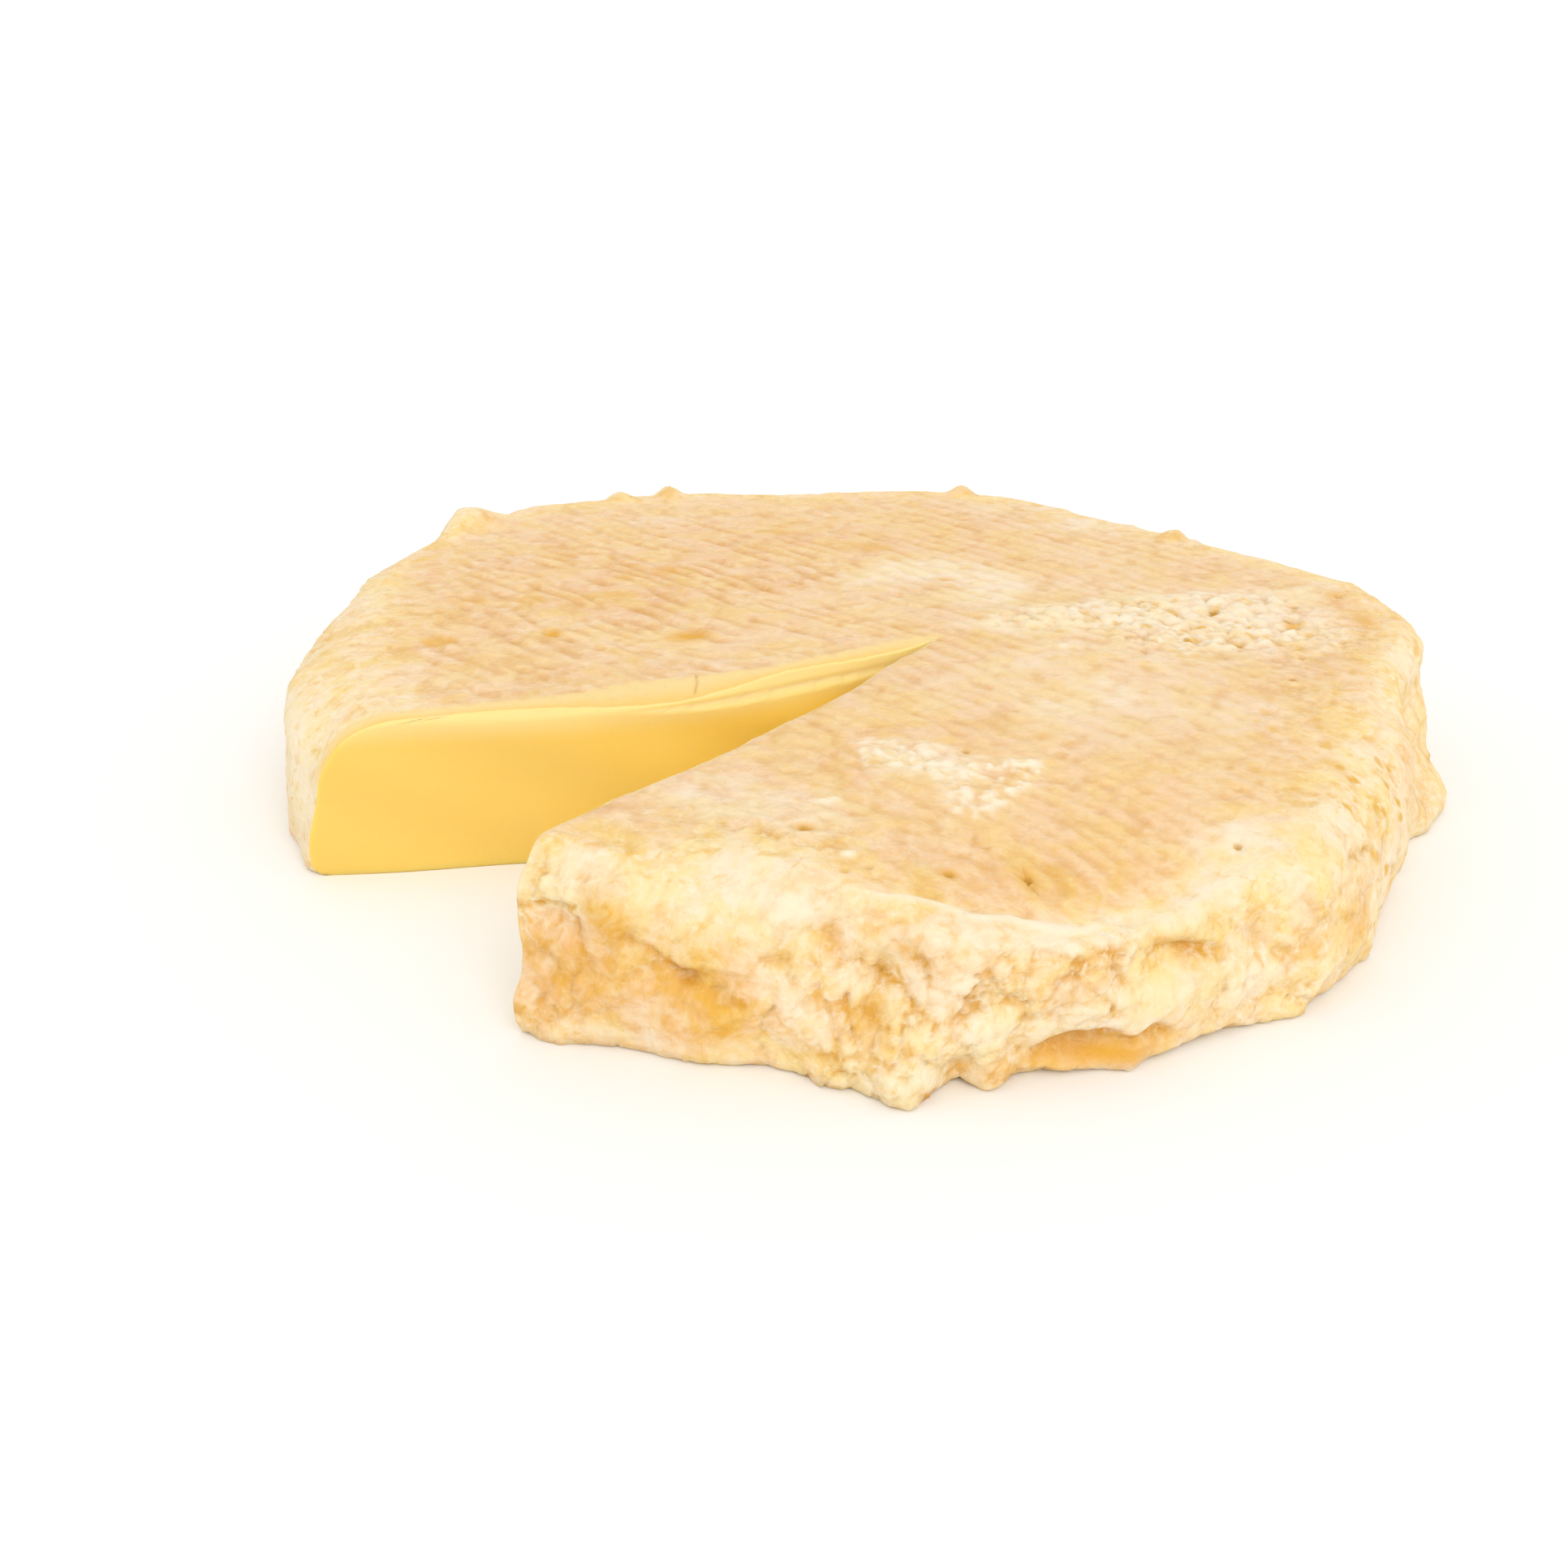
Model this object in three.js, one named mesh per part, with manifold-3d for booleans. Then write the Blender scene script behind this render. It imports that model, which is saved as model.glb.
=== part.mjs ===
// A flat, soft farmhouse cheese with a washed rind, about 22 cm across and 3 cm thick.
// One wedge has been cut out and taken away, which leaves a gap that narrows to a point
// near the middle. The cheese is one solid: rind and paste are the same piece.
// Millimetres and degrees, +Z up. Angles run anticlockwise round the wheel from +X.

import * as THREE from 'three';
import { mergeVertices } from 'three/addons/utils/BufferGeometryUtils.js';
import Module from 'manifold-3d';

// ---------------------------------------------------------------- driving dimensions

const THICKNESS = 30.5;
const RIM_RADIUS = 103.6;
const COLUMNS = 192;

// A feature that swells and dies away again round the rim: [angle, half width, amount].
const RIM_BULGES = [
  [-150, 50, 1.4],
  [-106, 11, -1.6],
  [-86.5, 12.5, 4.6],
  [-72, 15, 4],
  [-51, 21, 5],
  [-19, 14, -1.2],
  [13, 28, 9.6],
  [38, 26, 3],
  [75, 28, 9],
  [127, 45, 14],
  [156, 22, 2.8],
  [176, 24, 1.6],
  [208, 20, -4],
];

// The top sags toward the front, where it ends in a sharp lip well under full height. The
// sag power says how late on the way out the top starts to fall.
const EDGE_HEIGHT = 30;
const SAG_POWER = 3.2;
const EDGE_SAGS = [
  [-69, 33, -9],
  [-36, 24, -2],
  [4, 20, -1.2],
  [-120, 9, 1.6],
  [206, 20, -1.2],
  [129, 10, 0.9],
];

// The shoulder is a quarter ellipse between the side and the top.
const SHOULDER_WIDTH = 6.5;
const SHOULDER_WIDTHS = [
  [190, 48, 10],
  [-103, 13, 7],
  [-72, 18, -2],
  [-32, 26, 5],
  [8, 16, -1.5],
];
const SHOULDER_DROP = 7;
const SHOULDER_DROPS = [
  [206, 25, 8],
  [-103, 13, 5],
  [-72, 18, -3],
  [-32, 26, 5],
];

// How far the top of the side stands inside its belly.
const LEAN = 1;
const LEANS = [
  [-92, 12, 4],
  [-62, 14, 1.5],
  [-8, 16, 4],
  [180, 40, 0.6],
];

// The foot: a small round, with flares, flakes and a notch where the rind spread out.
const FOOT_ROUND = 2;
const FOOT_REACH = 9;
const FOOT_FLARES = [
  [-5.5, 11, 5.2],
  [-20, 12, -1.2],
  [-88, 3.6, 3.2],
  [-83.4, 2.4, -2.4],
  [-80.5, 2.6, 1.2],
  [-97, 7, -1.6],
  [-49, 12, -1],
  [-121, 5, 1.4],
  [-112, 8, -1.8],
];

// The side is craggy, with rounded lumps of two sizes, and the top has long low waves. The
// sharpness is the power that folds the noise.
const LUMP_SIZE = 15;
const LUMP_DEPTH = 1.5;
const LUMP_SHARPNESS = 0.8;
const CRAG_SIZE = 7.5;
const CRAG_DEPTH = 0.8;
// Round this angle the side is smoother, by this share.
const LUMPS_FADE = [[176, 52, -0.7]];
const TOP_WAVE_SIZE = 38;
const TOP_WAVE_DEPTH = 0.55;

// The skin changes from side to top between these slopes of the shoulder.
const TOP_SKIN_SLOPES = [30, 85];

// Folds and dents of the side: [angle, height, half width round the rim, half height, depth].
const SIDE_DENTS = [
  [-103, 14, 6.5, 3, 1.5],
  [-116.5, 20, 3.2, 3, 1.6],
  [-88.5, 17, 4, 5, 1.8],
  [-73.5, 5, 5.5, 3.6, 2.2],
  [-64.5, 16.5, 4.5, 3.2, 1.8],
  [-80, 14, 3, 4, 1.2],
  [-2.5, 18.5, 7, 6.5, 3.2],
  [-95, 22, 4, 3, 1],
  [-121, 8, 4, 6, 1.6],
];
const SIDE_LUMPS = [
  [-110, 23, 6, 5, 0.8],
  [-84, 9, 4.5, 5, 1],
  [-71, 11.5, 6, 4, 1.2],
  [-57, 10, 5, 6, 1],
  [5, 25, 6, 4, 1],
];

// Flakes and nubs of rind stand up from the shoulder: [angle, half width, amount].
const RIM_FLAKES = [
  [137.5, 6, 4.6],
  [117.2, 2.2, 1.4],
  [111.2, 2.2, 2.2],
  [74.2, 2.2, 2],
  [43.5, 2, 1.6],
];
// They reach this far in and out from a middle outside the top's edge, and this far down.
const FLAKE_MIDDLE = 3;
const FLAKE_REACH = 8;
const FLAKE_FOOT = [16, 27];

// A bumpy crease crosses the top, from the point of the cut to the right-hand rim.
const CREASE_FROM = [16, 9];
const CREASE_TO = [110, 33];
const CREASE_HALF_WIDTH = 9;
const CREASE_RISES_OVER = [-0.05, 0.25];
const CREASE_HEIGHT = 0.7;
const CREASE_BUMP_SIZE = 8;

// The cut: two knife strokes that meet at the point. The far one turns on its way out.
const CUT_POINT = [15.5, -0.4];
const NEAR_HEADING = -127.1;
const FAR_HEADING = -150.8;
const FAR_HEADING_AT_RIM = -172.5;
const FAR_TURN_FROM = 38;
const FAR_TURN_OVER = 40;
const CUT_LENGTH = 134;
const CUT_STEPS = 22;
const CUT_OPENS_OVER = 26;

// The rind is drawn down over the far edge as a sloping lip, and the near face is bowed:
// [distance along the cut, half width, amount].
const LIP_DROP = 2.2;
const LIP_BACK = 1.4;
const LIP_BACKS = [[56, 28, 2.6]];
const NEAR_BOWS = [[46, 44, -2.4]];

// Under the rind the paste swells out as a bevel, and the second stroke left a ledge.
const BEVEL_HEIGHT = 3.2;
const BEVEL_OUT = 1.3;
const LEDGE_DEPTH = 2.8;
const LEDGE_DEPTH_AT_POINT = 3.2;
const LEDGE_OUT = 1.3;
const LEDGE_RISE = 0.7;
const LEDGE_GROOVE = 0.5;
const LEDGE_ENDS = 64;
const LEDGE_FADES_OVER = 22;
const KNIFE_WAVE = 0.35;
const KNIFE_WAVE_LENGTH = 41;

// The rows of the cutting faces, as depths under the top. The first is above the wheel and
// the last below it. Rows down to LOW_ROWS follow the ledge, which lies deeper at the point.
const CUT_ROWS = [-16, -2, 0, 1.1, 2.2, 2.8, 3.5, 5.5, 10, 16, 23, 33];
const LOW_ROWS = 12;

const RIND_COLOUR = '#ecc896';

// ---------------------------------------------------------------- small functions

const radians = THREE.MathUtils.degToRad;
const lerp = THREE.MathUtils.lerp;
const smoothstep = THREE.MathUtils.smoothstep;

// 1 at the middle, 0 from the half width outward, level at both.
function swell(distance, halfWidth) {
  const share = Math.min(Math.abs(distance) / halfWidth, 1);
  return 0.5 + 0.5 * Math.cos(Math.PI * share);
}

// The way round from one angle to another, between -180 and 180.
function angleBetween(angle, from) {
  return THREE.MathUtils.euclideanModulo(angle - from + 180, 360) - 180;
}

// The sum of a list of features at an angle round the rim.
function around(angle, features) {
  let sum = 0;
  for (const [at, halfWidth, amount] of features) {
    sum += amount * swell(angleBetween(angle, at), halfWidth);
  }
  return sum;
}

// The sum of a list of features at a distance along the cut.
function alongCut(along, features) {
  let sum = 0;
  for (const [at, halfWidth, amount] of features) {
    sum += amount * swell(along - at, halfWidth);
  }
  return sum;
}

// The sum of a list of features at an angle and a height of the side.
function onSide(angle, height, features) {
  let sum = 0;
  for (const [at, level, halfWidth, halfHeight, amount] of features) {
    const across = swell(angleBetween(angle, at), halfWidth);
    sum += amount * across * swell(height - level, halfHeight);
  }
  return sum;
}

// A fixed value between -1 and 1 for each corner of a unit lattice.
function latticeValue(i, j, k) {
  let hash = Math.imul(i, 374761393) + Math.imul(j, 668265263) + Math.imul(k, 2246822519);
  hash = Math.imul(hash ^ (hash >>> 13), 1274126177);
  hash = hash ^ (hash >>> 16);
  return ((hash >>> 0) / 4294967296) * 2 - 1;
}

// Smooth noise between -1 and 1: lattice values blended over a cell of the given size.
function noise(x, y, z, size) {
  const [u, v, w] = [x / size, y / size, z / size];
  const [i, j, k] = [Math.floor(u), Math.floor(v), Math.floor(w)];
  const ease = (t) => t * t * (3 - 2 * t);
  const [a, b, c] = [ease(u - i), ease(v - j), ease(w - k)];
  const along = (dj, dk) => lerp(latticeValue(i, j + dj, k + dk), latticeValue(i + 1, j + dj, k + dk), a);
  return lerp(lerp(along(0, 0), along(1, 0), b), lerp(along(0, 1), along(1, 1), b), c);
}

// Rounded ridges with wide hollows between them: folded noise, from -1 in a hollow to 1.
function lumps(x, y, z, size) {
  return 1 - 2 * Math.abs(noise(x, y, z, size)) ** LUMP_SHARPNESS;
}

// ---------------------------------------------------------------- the whole wheel

// The sizes of the wheel's section at one angle.
function sectionAt(angle) {
  const rim = RIM_RADIUS + around(angle, RIM_BULGES);
  return {
    rim,
    edge: EDGE_HEIGHT + around(angle, EDGE_SAGS),
    width: SHOULDER_WIDTH + around(angle, SHOULDER_WIDTHS),
    drop: SHOULDER_DROP + around(angle, SHOULDER_DROPS),
    lean: LEAN + around(angle, LEANS),
    flare: around(angle, FOOT_FLARES),
  };
}

// A point of the section before relief, with its outward slope: 0 is level, 90 straight up.
function footPoint(section, share) {
  const turn = radians(90 * share);
  const radius = section.rim + section.flare - FOOT_ROUND + FOOT_ROUND * Math.sin(turn);
  return { radius, height: FOOT_ROUND * (1 - Math.cos(turn)), slope: 90 * share - 90 };
}

function sidePoint(section, share) {
  const height = lerp(FOOT_ROUND, section.edge - section.drop, share);
  const flare = section.flare * swell(height - FOOT_ROUND, FOOT_REACH);
  return { radius: section.rim + flare - section.lean * share ** 2, height, slope: 0 };
}

function shoulderPoint(section, share) {
  const turn = radians(90 * share);
  const inset = section.lean + section.width * (1 - Math.cos(turn));
  const height = section.edge - section.drop * (1 - Math.sin(turn));
  return { radius: section.rim - inset, height, slope: 90 * share };
}

function topPoint(section, share) {
  const height = THICKNESS + (section.edge - THICKNESS) * share ** SAG_POWER;
  return { radius: (section.rim - section.lean - section.width) * share, height, slope: 90 };
}

// The rows of the section from the foot over the side to the middle of the top.
const SECTION_ROWS = [
  ...[0, 0.5].map((share) => [footPoint, share]),
  ...[0, 0.17, 0.33, 0.5, 0.67, 0.83].map((share) => [sidePoint, share]),
  ...[0, 0.25, 0.5, 0.75].map((share) => [shoulderPoint, share]),
  ...[1, 0.95, 0.88, 0.78, 0.65, 0.5, 0.33, 0.16].map((share) => [topPoint, share]),
];

// How much of the crease is felt at a place on the top: 1 along its line, 0 beside it.
function creaseShare(x, y) {
  const [fromX, fromY] = CREASE_FROM;
  const line = new THREE.Vector2(CREASE_TO[0] - fromX, CREASE_TO[1] - fromY);
  const place = new THREE.Vector2(x - fromX, y - fromY);
  const along = place.dot(line) / line.lengthSq();
  const across = place.cross(line) / line.length();
  return swell(across, CREASE_HALF_WIDTH) * smoothstep(along, ...CREASE_RISES_OVER);
}

// How far the skin of the side stands out from the smooth form, and the skin of the top.
function sideRelief(angle, x, y, z) {
  const lumpy = LUMP_DEPTH * lumps(x, y, z, LUMP_SIZE) + CRAG_DEPTH * noise(x, y, z, CRAG_SIZE);
  const kept = 1 + around(angle, LUMPS_FADE);
  return lumpy * kept + onSide(angle, z, SIDE_LUMPS) - onSide(angle, z, SIDE_DENTS);
}

function topRelief(x, y, z) {
  const bumps = CREASE_HEIGHT * (1 + noise(x, y, z, CREASE_BUMP_SIZE));
  return TOP_WAVE_DEPTH * noise(x, y, z, TOP_WAVE_SIZE) + creaseShare(x, y) * bumps;
}

// How far a flake stands out at an angle, a height and a distance outside the top's edge.
function flakeRelief(angle, height, fromEdge) {
  const near = swell(fromEdge - FLAKE_MIDDLE, FLAKE_REACH) * smoothstep(height, ...FLAKE_FOOT);
  return near * around(angle, RIM_FLAKES);
}

function wheelPoint(angle, row) {
  const [pointOf, share] = SECTION_ROWS[row];
  const section = sectionAt(angle);
  const { radius, height, slope } = pointOf(section, share);
  const [cos, sin] = [Math.cos(radians(angle)), Math.sin(radians(angle))];
  const [x, y] = [radius * cos, radius * sin];
  const topShare = smoothstep(slope, ...TOP_SKIN_SLOPES);
  const fromEdge = radius - (section.rim - section.lean - section.width);
  const skin = lerp(sideRelief(angle, x, y, height), topRelief(x, y, height), topShare);
  const out = skin + flakeRelief(angle, height, fromEdge);
  const underside = row === 0;
  const reach = radius + out * (underside ? 1 : Math.cos(radians(slope)));
  const level = underside ? 0 : height + out * Math.sin(radians(slope));
  return [reach * cos, reach * sin, Math.max(level, 0)];
}

// A closed skin of rings from the underside's middle over the side to the top's middle.
function wheelGeometry() {
  const positions = [];
  const index = [];
  for (let row = 0; row < SECTION_ROWS.length; row += 1) {
    for (let column = 0; column < COLUMNS; column += 1) {
      positions.push(...wheelPoint((column * 360) / COLUMNS - 180, row));
    }
  }
  const underMiddle = positions.length / 3;
  positions.push(0, 0, 0);
  const topMiddle = underMiddle + 1;
  positions.push(0, 0, THICKNESS + topRelief(0, 0, THICKNESS));
  const lastRow = (SECTION_ROWS.length - 1) * COLUMNS;
  for (let column = 0; column < COLUMNS; column += 1) {
    const next = (column + 1) % COLUMNS;
    index.push(underMiddle, next, column);
    index.push(topMiddle, lastRow + column, lastRow + next);
    for (let row = 0; row < lastRow; row += COLUMNS) {
      index.push(row + column, row + next, row + COLUMNS + next);
      index.push(row + column, row + COLUMNS + next, row + COLUMNS + column);
    }
  }
  return indexedGeometry(positions, index);
}

// ---------------------------------------------------------------- the cut

// The places that a knife stroke passes, with the sideways direction into the gap.
function knifePath(heading, headingAtRim, intoGap) {
  const places = [];
  const step = CUT_LENGTH / CUT_STEPS;
  let [x, y] = CUT_POINT;
  for (let count = 0; count <= CUT_STEPS; count += 1) {
    const along = count * step;
    const turned = smoothstep(along, FAR_TURN_FROM, FAR_TURN_FROM + FAR_TURN_OVER);
    const now = radians(lerp(heading, headingAtRim, turned));
    places.push({ x, y, along, gapX: -Math.sin(now) * intoGap, gapY: Math.cos(now) * intoGap });
    x += Math.cos(now) * step;
    y += Math.sin(now) * step;
  }
  return places;
}

// How far a cut face stands into the gap, at a distance along the cut and a depth. The form
// share is 1 for the far face, which has the lip, the bevel and the ledge, and 0 for the near one.
function faceOffset(along, depth, formShare) {
  const opened = smoothstep(along, 0, CUT_OPENS_OVER);
  const lipShare = 1 - THREE.MathUtils.clamp(depth / LIP_DROP, 0, 1);
  const lip = (LIP_BACK + alongCut(along, LIP_BACKS)) * lipShare;
  const bevel = BEVEL_OUT * smoothstep(depth, 0, BEVEL_HEIGHT);
  const wave = KNIFE_WAVE * Math.sin((2 * Math.PI * along) / KNIFE_WAVE_LENGTH + depth / LEDGE_DEPTH);
  const ledge = LEDGE_OUT * smoothstep(depth, LEDGE_DEPTH, LEDGE_DEPTH + LEDGE_RISE);
  const groove = LEDGE_GROOVE * swell(depth - LEDGE_DEPTH, LEDGE_RISE);
  const kept = 1 - smoothstep(along, LEDGE_ENDS - LEDGE_FADES_OVER, LEDGE_ENDS);
  const farForm = bevel - lip + kept * (ledge - groove);
  return opened * (wave + lerp(alongCut(along, NEAR_BOWS), farForm, formShare));
}

// One cutting face's point at a place of its path and a row.
function facePoint(place, depth, formShare) {
  const out = faceOffset(place.along, depth, formShare);
  const ledgeAt = lerp(LEDGE_DEPTH_AT_POINT, LEDGE_DEPTH, smoothstep(place.along, 0, LEDGE_ENDS));
  const squeeze = depth > 0 && depth < LOW_ROWS ? ledgeAt / LEDGE_DEPTH : 1;
  return [place.x + place.gapX * out, place.y + place.gapY * out, THICKNESS - depth * squeeze];
}

// A closed wedge, larger than what it removes: each row is a loop out along the far face
// and back along the near one.
function cutterGeometry() {
  const far = knifePath(FAR_HEADING, FAR_HEADING_AT_RIM, 1);
  const near = knifePath(NEAR_HEADING, NEAR_HEADING, -1);
  const positions = [];
  const index = [];
  for (const depth of CUT_ROWS) {
    for (const place of far) {
      positions.push(...facePoint(place, depth, 1));
    }
    for (const place of near.slice(1).reverse()) {
      positions.push(...facePoint(place, depth, 0));
    }
  }
  const loop = 2 * CUT_STEPS + 1;
  const lastRow = (CUT_ROWS.length - 1) * loop;
  for (let column = 0; column < loop; column += 1) {
    const next = (column + 1) % loop;
    for (let row = 0; row < lastRow; row += loop) {
      index.push(row + column, row + loop + column, row + loop + next);
      index.push(row + column, row + loop + next, row + next);
    }
  }
  for (let count = 0; count < CUT_STEPS; count += 1) {
    const across = (loop - count) % loop;
    const acrossNext = loop - count - 1;
    index.push(count, count + 1, acrossNext);
    index.push(lastRow + count, lastRow + acrossNext, lastRow + count + 1);
    if (count > 0) {
      index.push(count, acrossNext, across);
      index.push(lastRow + count, lastRow + across, lastRow + acrossNext);
    }
  }
  return indexedGeometry(positions, index);
}

// ---------------------------------------------------------------- solids

function indexedGeometry(positions, index) {
  const geometry = new THREE.BufferGeometry();
  geometry.setAttribute('position', new THREE.Float32BufferAttribute(positions, 3));
  geometry.setIndex(index);
  return geometry;
}

const wasm = await Module();
wasm.setup();

function solidOf(geometry) {
  const merged = mergeVertices(geometry);
  const vertProperties = Float32Array.from(merged.attributes.position.array);
  const triVerts = Uint32Array.from(merged.index.array);
  return new wasm.Manifold(new wasm.Mesh({ numProp: 3, vertProperties, triVerts }));
}

function geometryOf(solid) {
  const { vertProperties, triVerts } = solid.getMesh();
  const geometry = indexedGeometry(Array.from(vertProperties), Array.from(triVerts));
  geometry.computeVertexNormals();
  return geometry;
}

// The wheel less the wedge, placed so that its box is centred over the origin.
function cheeseWheel() {
  const geometry = geometryOf(solidOf(wheelGeometry()).subtract(solidOf(cutterGeometry())));
  const rind = new THREE.MeshStandardMaterial({ color: RIND_COLOUR, roughness: 0.6, metalness: 0 });
  const mesh = new THREE.Mesh(geometry, rind);
  mesh.name = 'cheese_wheel';
  geometry.computeBoundingBox();
  const centre = geometry.boundingBox.getCenter(new THREE.Vector3());
  mesh.position.set(-centre.x, -centre.y, 0);
  return mesh;
}

const cheese = new THREE.Group();
cheese.add(cheeseWheel());

export default cheese;
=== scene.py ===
"""A flat farmhouse cheese with a washed rind, 22 cm across, and the gap of one cut wedge.

Sizes are in millimetres and angles in degrees, in the wheel's own frame: its axis stands on
the origin and +Z is up. Angles run anticlockwise from +X, seen from above. The mesh is moved
into the part's frame and turned into metres when it is made.
"""

from math import radians

import bpy
import numpy as np
from mathutils.geometry import delaunay_2d_cdt
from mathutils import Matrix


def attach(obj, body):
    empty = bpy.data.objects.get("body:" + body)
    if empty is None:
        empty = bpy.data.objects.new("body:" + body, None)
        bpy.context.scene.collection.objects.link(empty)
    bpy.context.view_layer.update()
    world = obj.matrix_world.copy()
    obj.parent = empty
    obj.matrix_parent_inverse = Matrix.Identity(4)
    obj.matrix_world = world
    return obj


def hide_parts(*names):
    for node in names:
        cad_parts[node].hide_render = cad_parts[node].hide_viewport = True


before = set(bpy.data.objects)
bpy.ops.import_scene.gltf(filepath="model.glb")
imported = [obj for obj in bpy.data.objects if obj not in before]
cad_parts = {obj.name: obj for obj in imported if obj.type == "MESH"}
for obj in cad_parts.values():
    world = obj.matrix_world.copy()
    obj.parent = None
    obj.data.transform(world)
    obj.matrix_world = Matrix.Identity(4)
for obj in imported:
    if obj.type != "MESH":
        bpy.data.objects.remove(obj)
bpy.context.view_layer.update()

# ---------------- sizes shared with the solid

THICKNESS = 30.5
RIM_RADIUS = 103.6
WHEEL_AXIS = (-3.6307, 0.3519)  # where the wheel's axis stands in the part's frame

# What swells and dies away again round the rim: (angle, half width, amount).
RIM_BULGES = [
    (-150, 50, 1.4), (-106, 11, -1.6), (-86.5, 12.5, 4.6), (-72, 15, 4), (-51, 21, 5),
    (-19, 14, -1.2), (13, 28, 9.6), (38, 26, 3), (75, 28, 9), (127, 45, 14), (156, 22, 2.8),
    (176, 24, 1.6), (208, 20, -4),
]
EDGE_HEIGHT = 30
SAG_POWER = 3.2
EDGE_SAGS = [
    (-69, 33, -9), (-36, 24, -2), (4, 20, -1.2), (-120, 9, 1.6), (206, 20, -1.2), (129, 10, 0.9),
]
SHOULDER_WIDTH = 6.5
SHOULDER_WIDTHS = [(190, 48, 10), (-103, 13, 7), (-72, 18, -2), (-32, 26, 5), (8, 16, -1.5)]
SHOULDER_DROP = 7
SHOULDER_DROPS = [(206, 25, 8), (-103, 13, 5), (-72, 18, -3), (-32, 26, 5)]
LEAN = 1
LEANS = [(-92, 12, 4), (-62, 14, 1.5), (-8, 16, 4), (180, 40, 0.6)]
FOOT_ROUND = 2
FOOT_REACH = 9
FOOT_FLARES = [
    (-5.5, 11, 5.2), (-20, 12, -1.2), (-88, 3.6, 3.2), (-83.4, 2.4, -2.4), (-80.5, 2.6, 1.2),
    (-97, 7, -1.6), (-49, 12, -1), (-121, 5, 1.4), (-112, 8, -1.8),
]

LUMP_SIZE = 15
LUMP_DEPTH = 1.5
LUMP_SHARPNESS = 0.8
CRAG_SIZE = 7.5
CRAG_DEPTH = 0.8
LUMPS_FADES = [(176, 52, -0.7)]  # where the side is less lumpy: (angle, half width, share)
TOP_WAVE_SIZE = 38
TOP_WAVE_DEPTH = 0.55
TOP_SKIN_SLOPES = (30, 85)

# Folds and swellings of the side: (angle, height, half width, half height, amount).
SIDE_DENTS = [
    (-103, 14, 6.5, 3, 1.5), (-116.5, 20, 3.2, 3, 1.6), (-88.5, 17, 4, 5, 1.8),
    (-73.5, 5, 5.5, 3.6, 2.2), (-64.5, 16.5, 4.5, 3.2, 1.8), (-80, 14, 3, 4, 1.2),
    (-2.5, 18.5, 7, 6.5, 3.2), (-95, 22, 4, 3, 1), (-121, 8, 4, 6, 1.6),
]
SIDE_LUMPS = [
    (-110, 23, 6, 5, 0.8), (-84, 9, 4.5, 5, 1), (-71, 11.5, 6, 4, 1.2), (-57, 10, 5, 6, 1),
    (5, 25, 6, 4, 1),
]
RIM_FLAKES = [(137.5, 6, 4.6), (117.2, 2.2, 1.4), (111.2, 2.2, 2.2), (74.2, 2.2, 2), (43.5, 2, 1.6)]
FLAKE_MIDDLE = 3
FLAKE_REACH = 8
FLAKE_FOOT = (16, 27)

CREASE_FROM = (16, 9)
CREASE_TO = (110, 33)
CREASE_HALF_WIDTH = 9
CREASE_RISES_OVER = (-0.05, 0.25)
CREASE_HEIGHT = 0.7
CREASE_BUMP_SIZE = 8

CUT_POINT = (15.5, -0.4)
NEAR_HEADING = -127.1
FAR_HEADING = -150.8
FAR_HEADING_AT_RIM = -172.5
FAR_TURN = (38, 78)
CUT_LENGTH = 134
CUT_OPENS_OVER = 26
NEAR_BOW = (46, 44, -2.4)  # how the near face is bowed: (distance along the cut, half width, amount)
BEVEL_HEIGHT = 3.2
BEVEL_OUT = 1.3
LEDGE_DEPTH = 2.8
LEDGE_DEPTH_AT_POINT = 3.2
LEDGE_OUT = 1.3
LEDGE_RISE = 0.7
LEDGE_GROOVE = 0.5
LEDGE_ENDS = 64
LEDGE_FADES_OVER = 22
KNIFE_WAVE = 0.35
KNIFE_WAVE_LENGTH = 41

# ---------------- sizes of the finer skin

# The crust of the side: flakes and crumbs on places bent by a slow warp, with seams between
# them, and how craggy it is round the rim: (angle, half width, more than the usual share).
CRUST_SIZE = 4.6
CRUST_DEPTH = 0.9
CRUMB_SIZE = 2.3
CRUMB_DEPTH = 0.6
FLAKE_LOOSENESS = 0.42  # how far a flake's middle may lie from its cell's, in flake sizes
FLAKE_LEVEL = 0.45  # so far from its middle a flake is level with the skin
SEAM_WIDTH = 0.16
SEAM_DEPTH = 0.35
SIDE_WARP = (6.5, 1.9)  # (size, reach)
USUAL_CRAGGINESS = 0.6
CRAGGINESS = [
    (-88, 20, 0.3), (-118, 5, 0.15), (-50, 30, -0.15), (-16, 28, -0.35), (100, 60, -0.15), (-165, 40, -0.4),
]
CRAGGINESS_PATCH = 17  # size of the noise that varies it
# Where the side is smooth: (angle, height, half width, half height, share).
SIDE_SMOOTH = [
    (-111, 24, 4.5, 4.5, 0.8), (-72, 3, 9, 4, 0.9), (-99.5, 6, 8, 6, 0.75), (-108, 7, 6, 6, 0.5),
    (-61, 21, 4, 3, 0.5), (-14, 20, 9, 10, 0.6), (-104, 2, 14, 5, 0.7), (-90, 23, 14, 8, 0.65),
    (-66, 12, 10, 5, 0.4), (-50, 10, 8, 6, 0.4),
]

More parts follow.
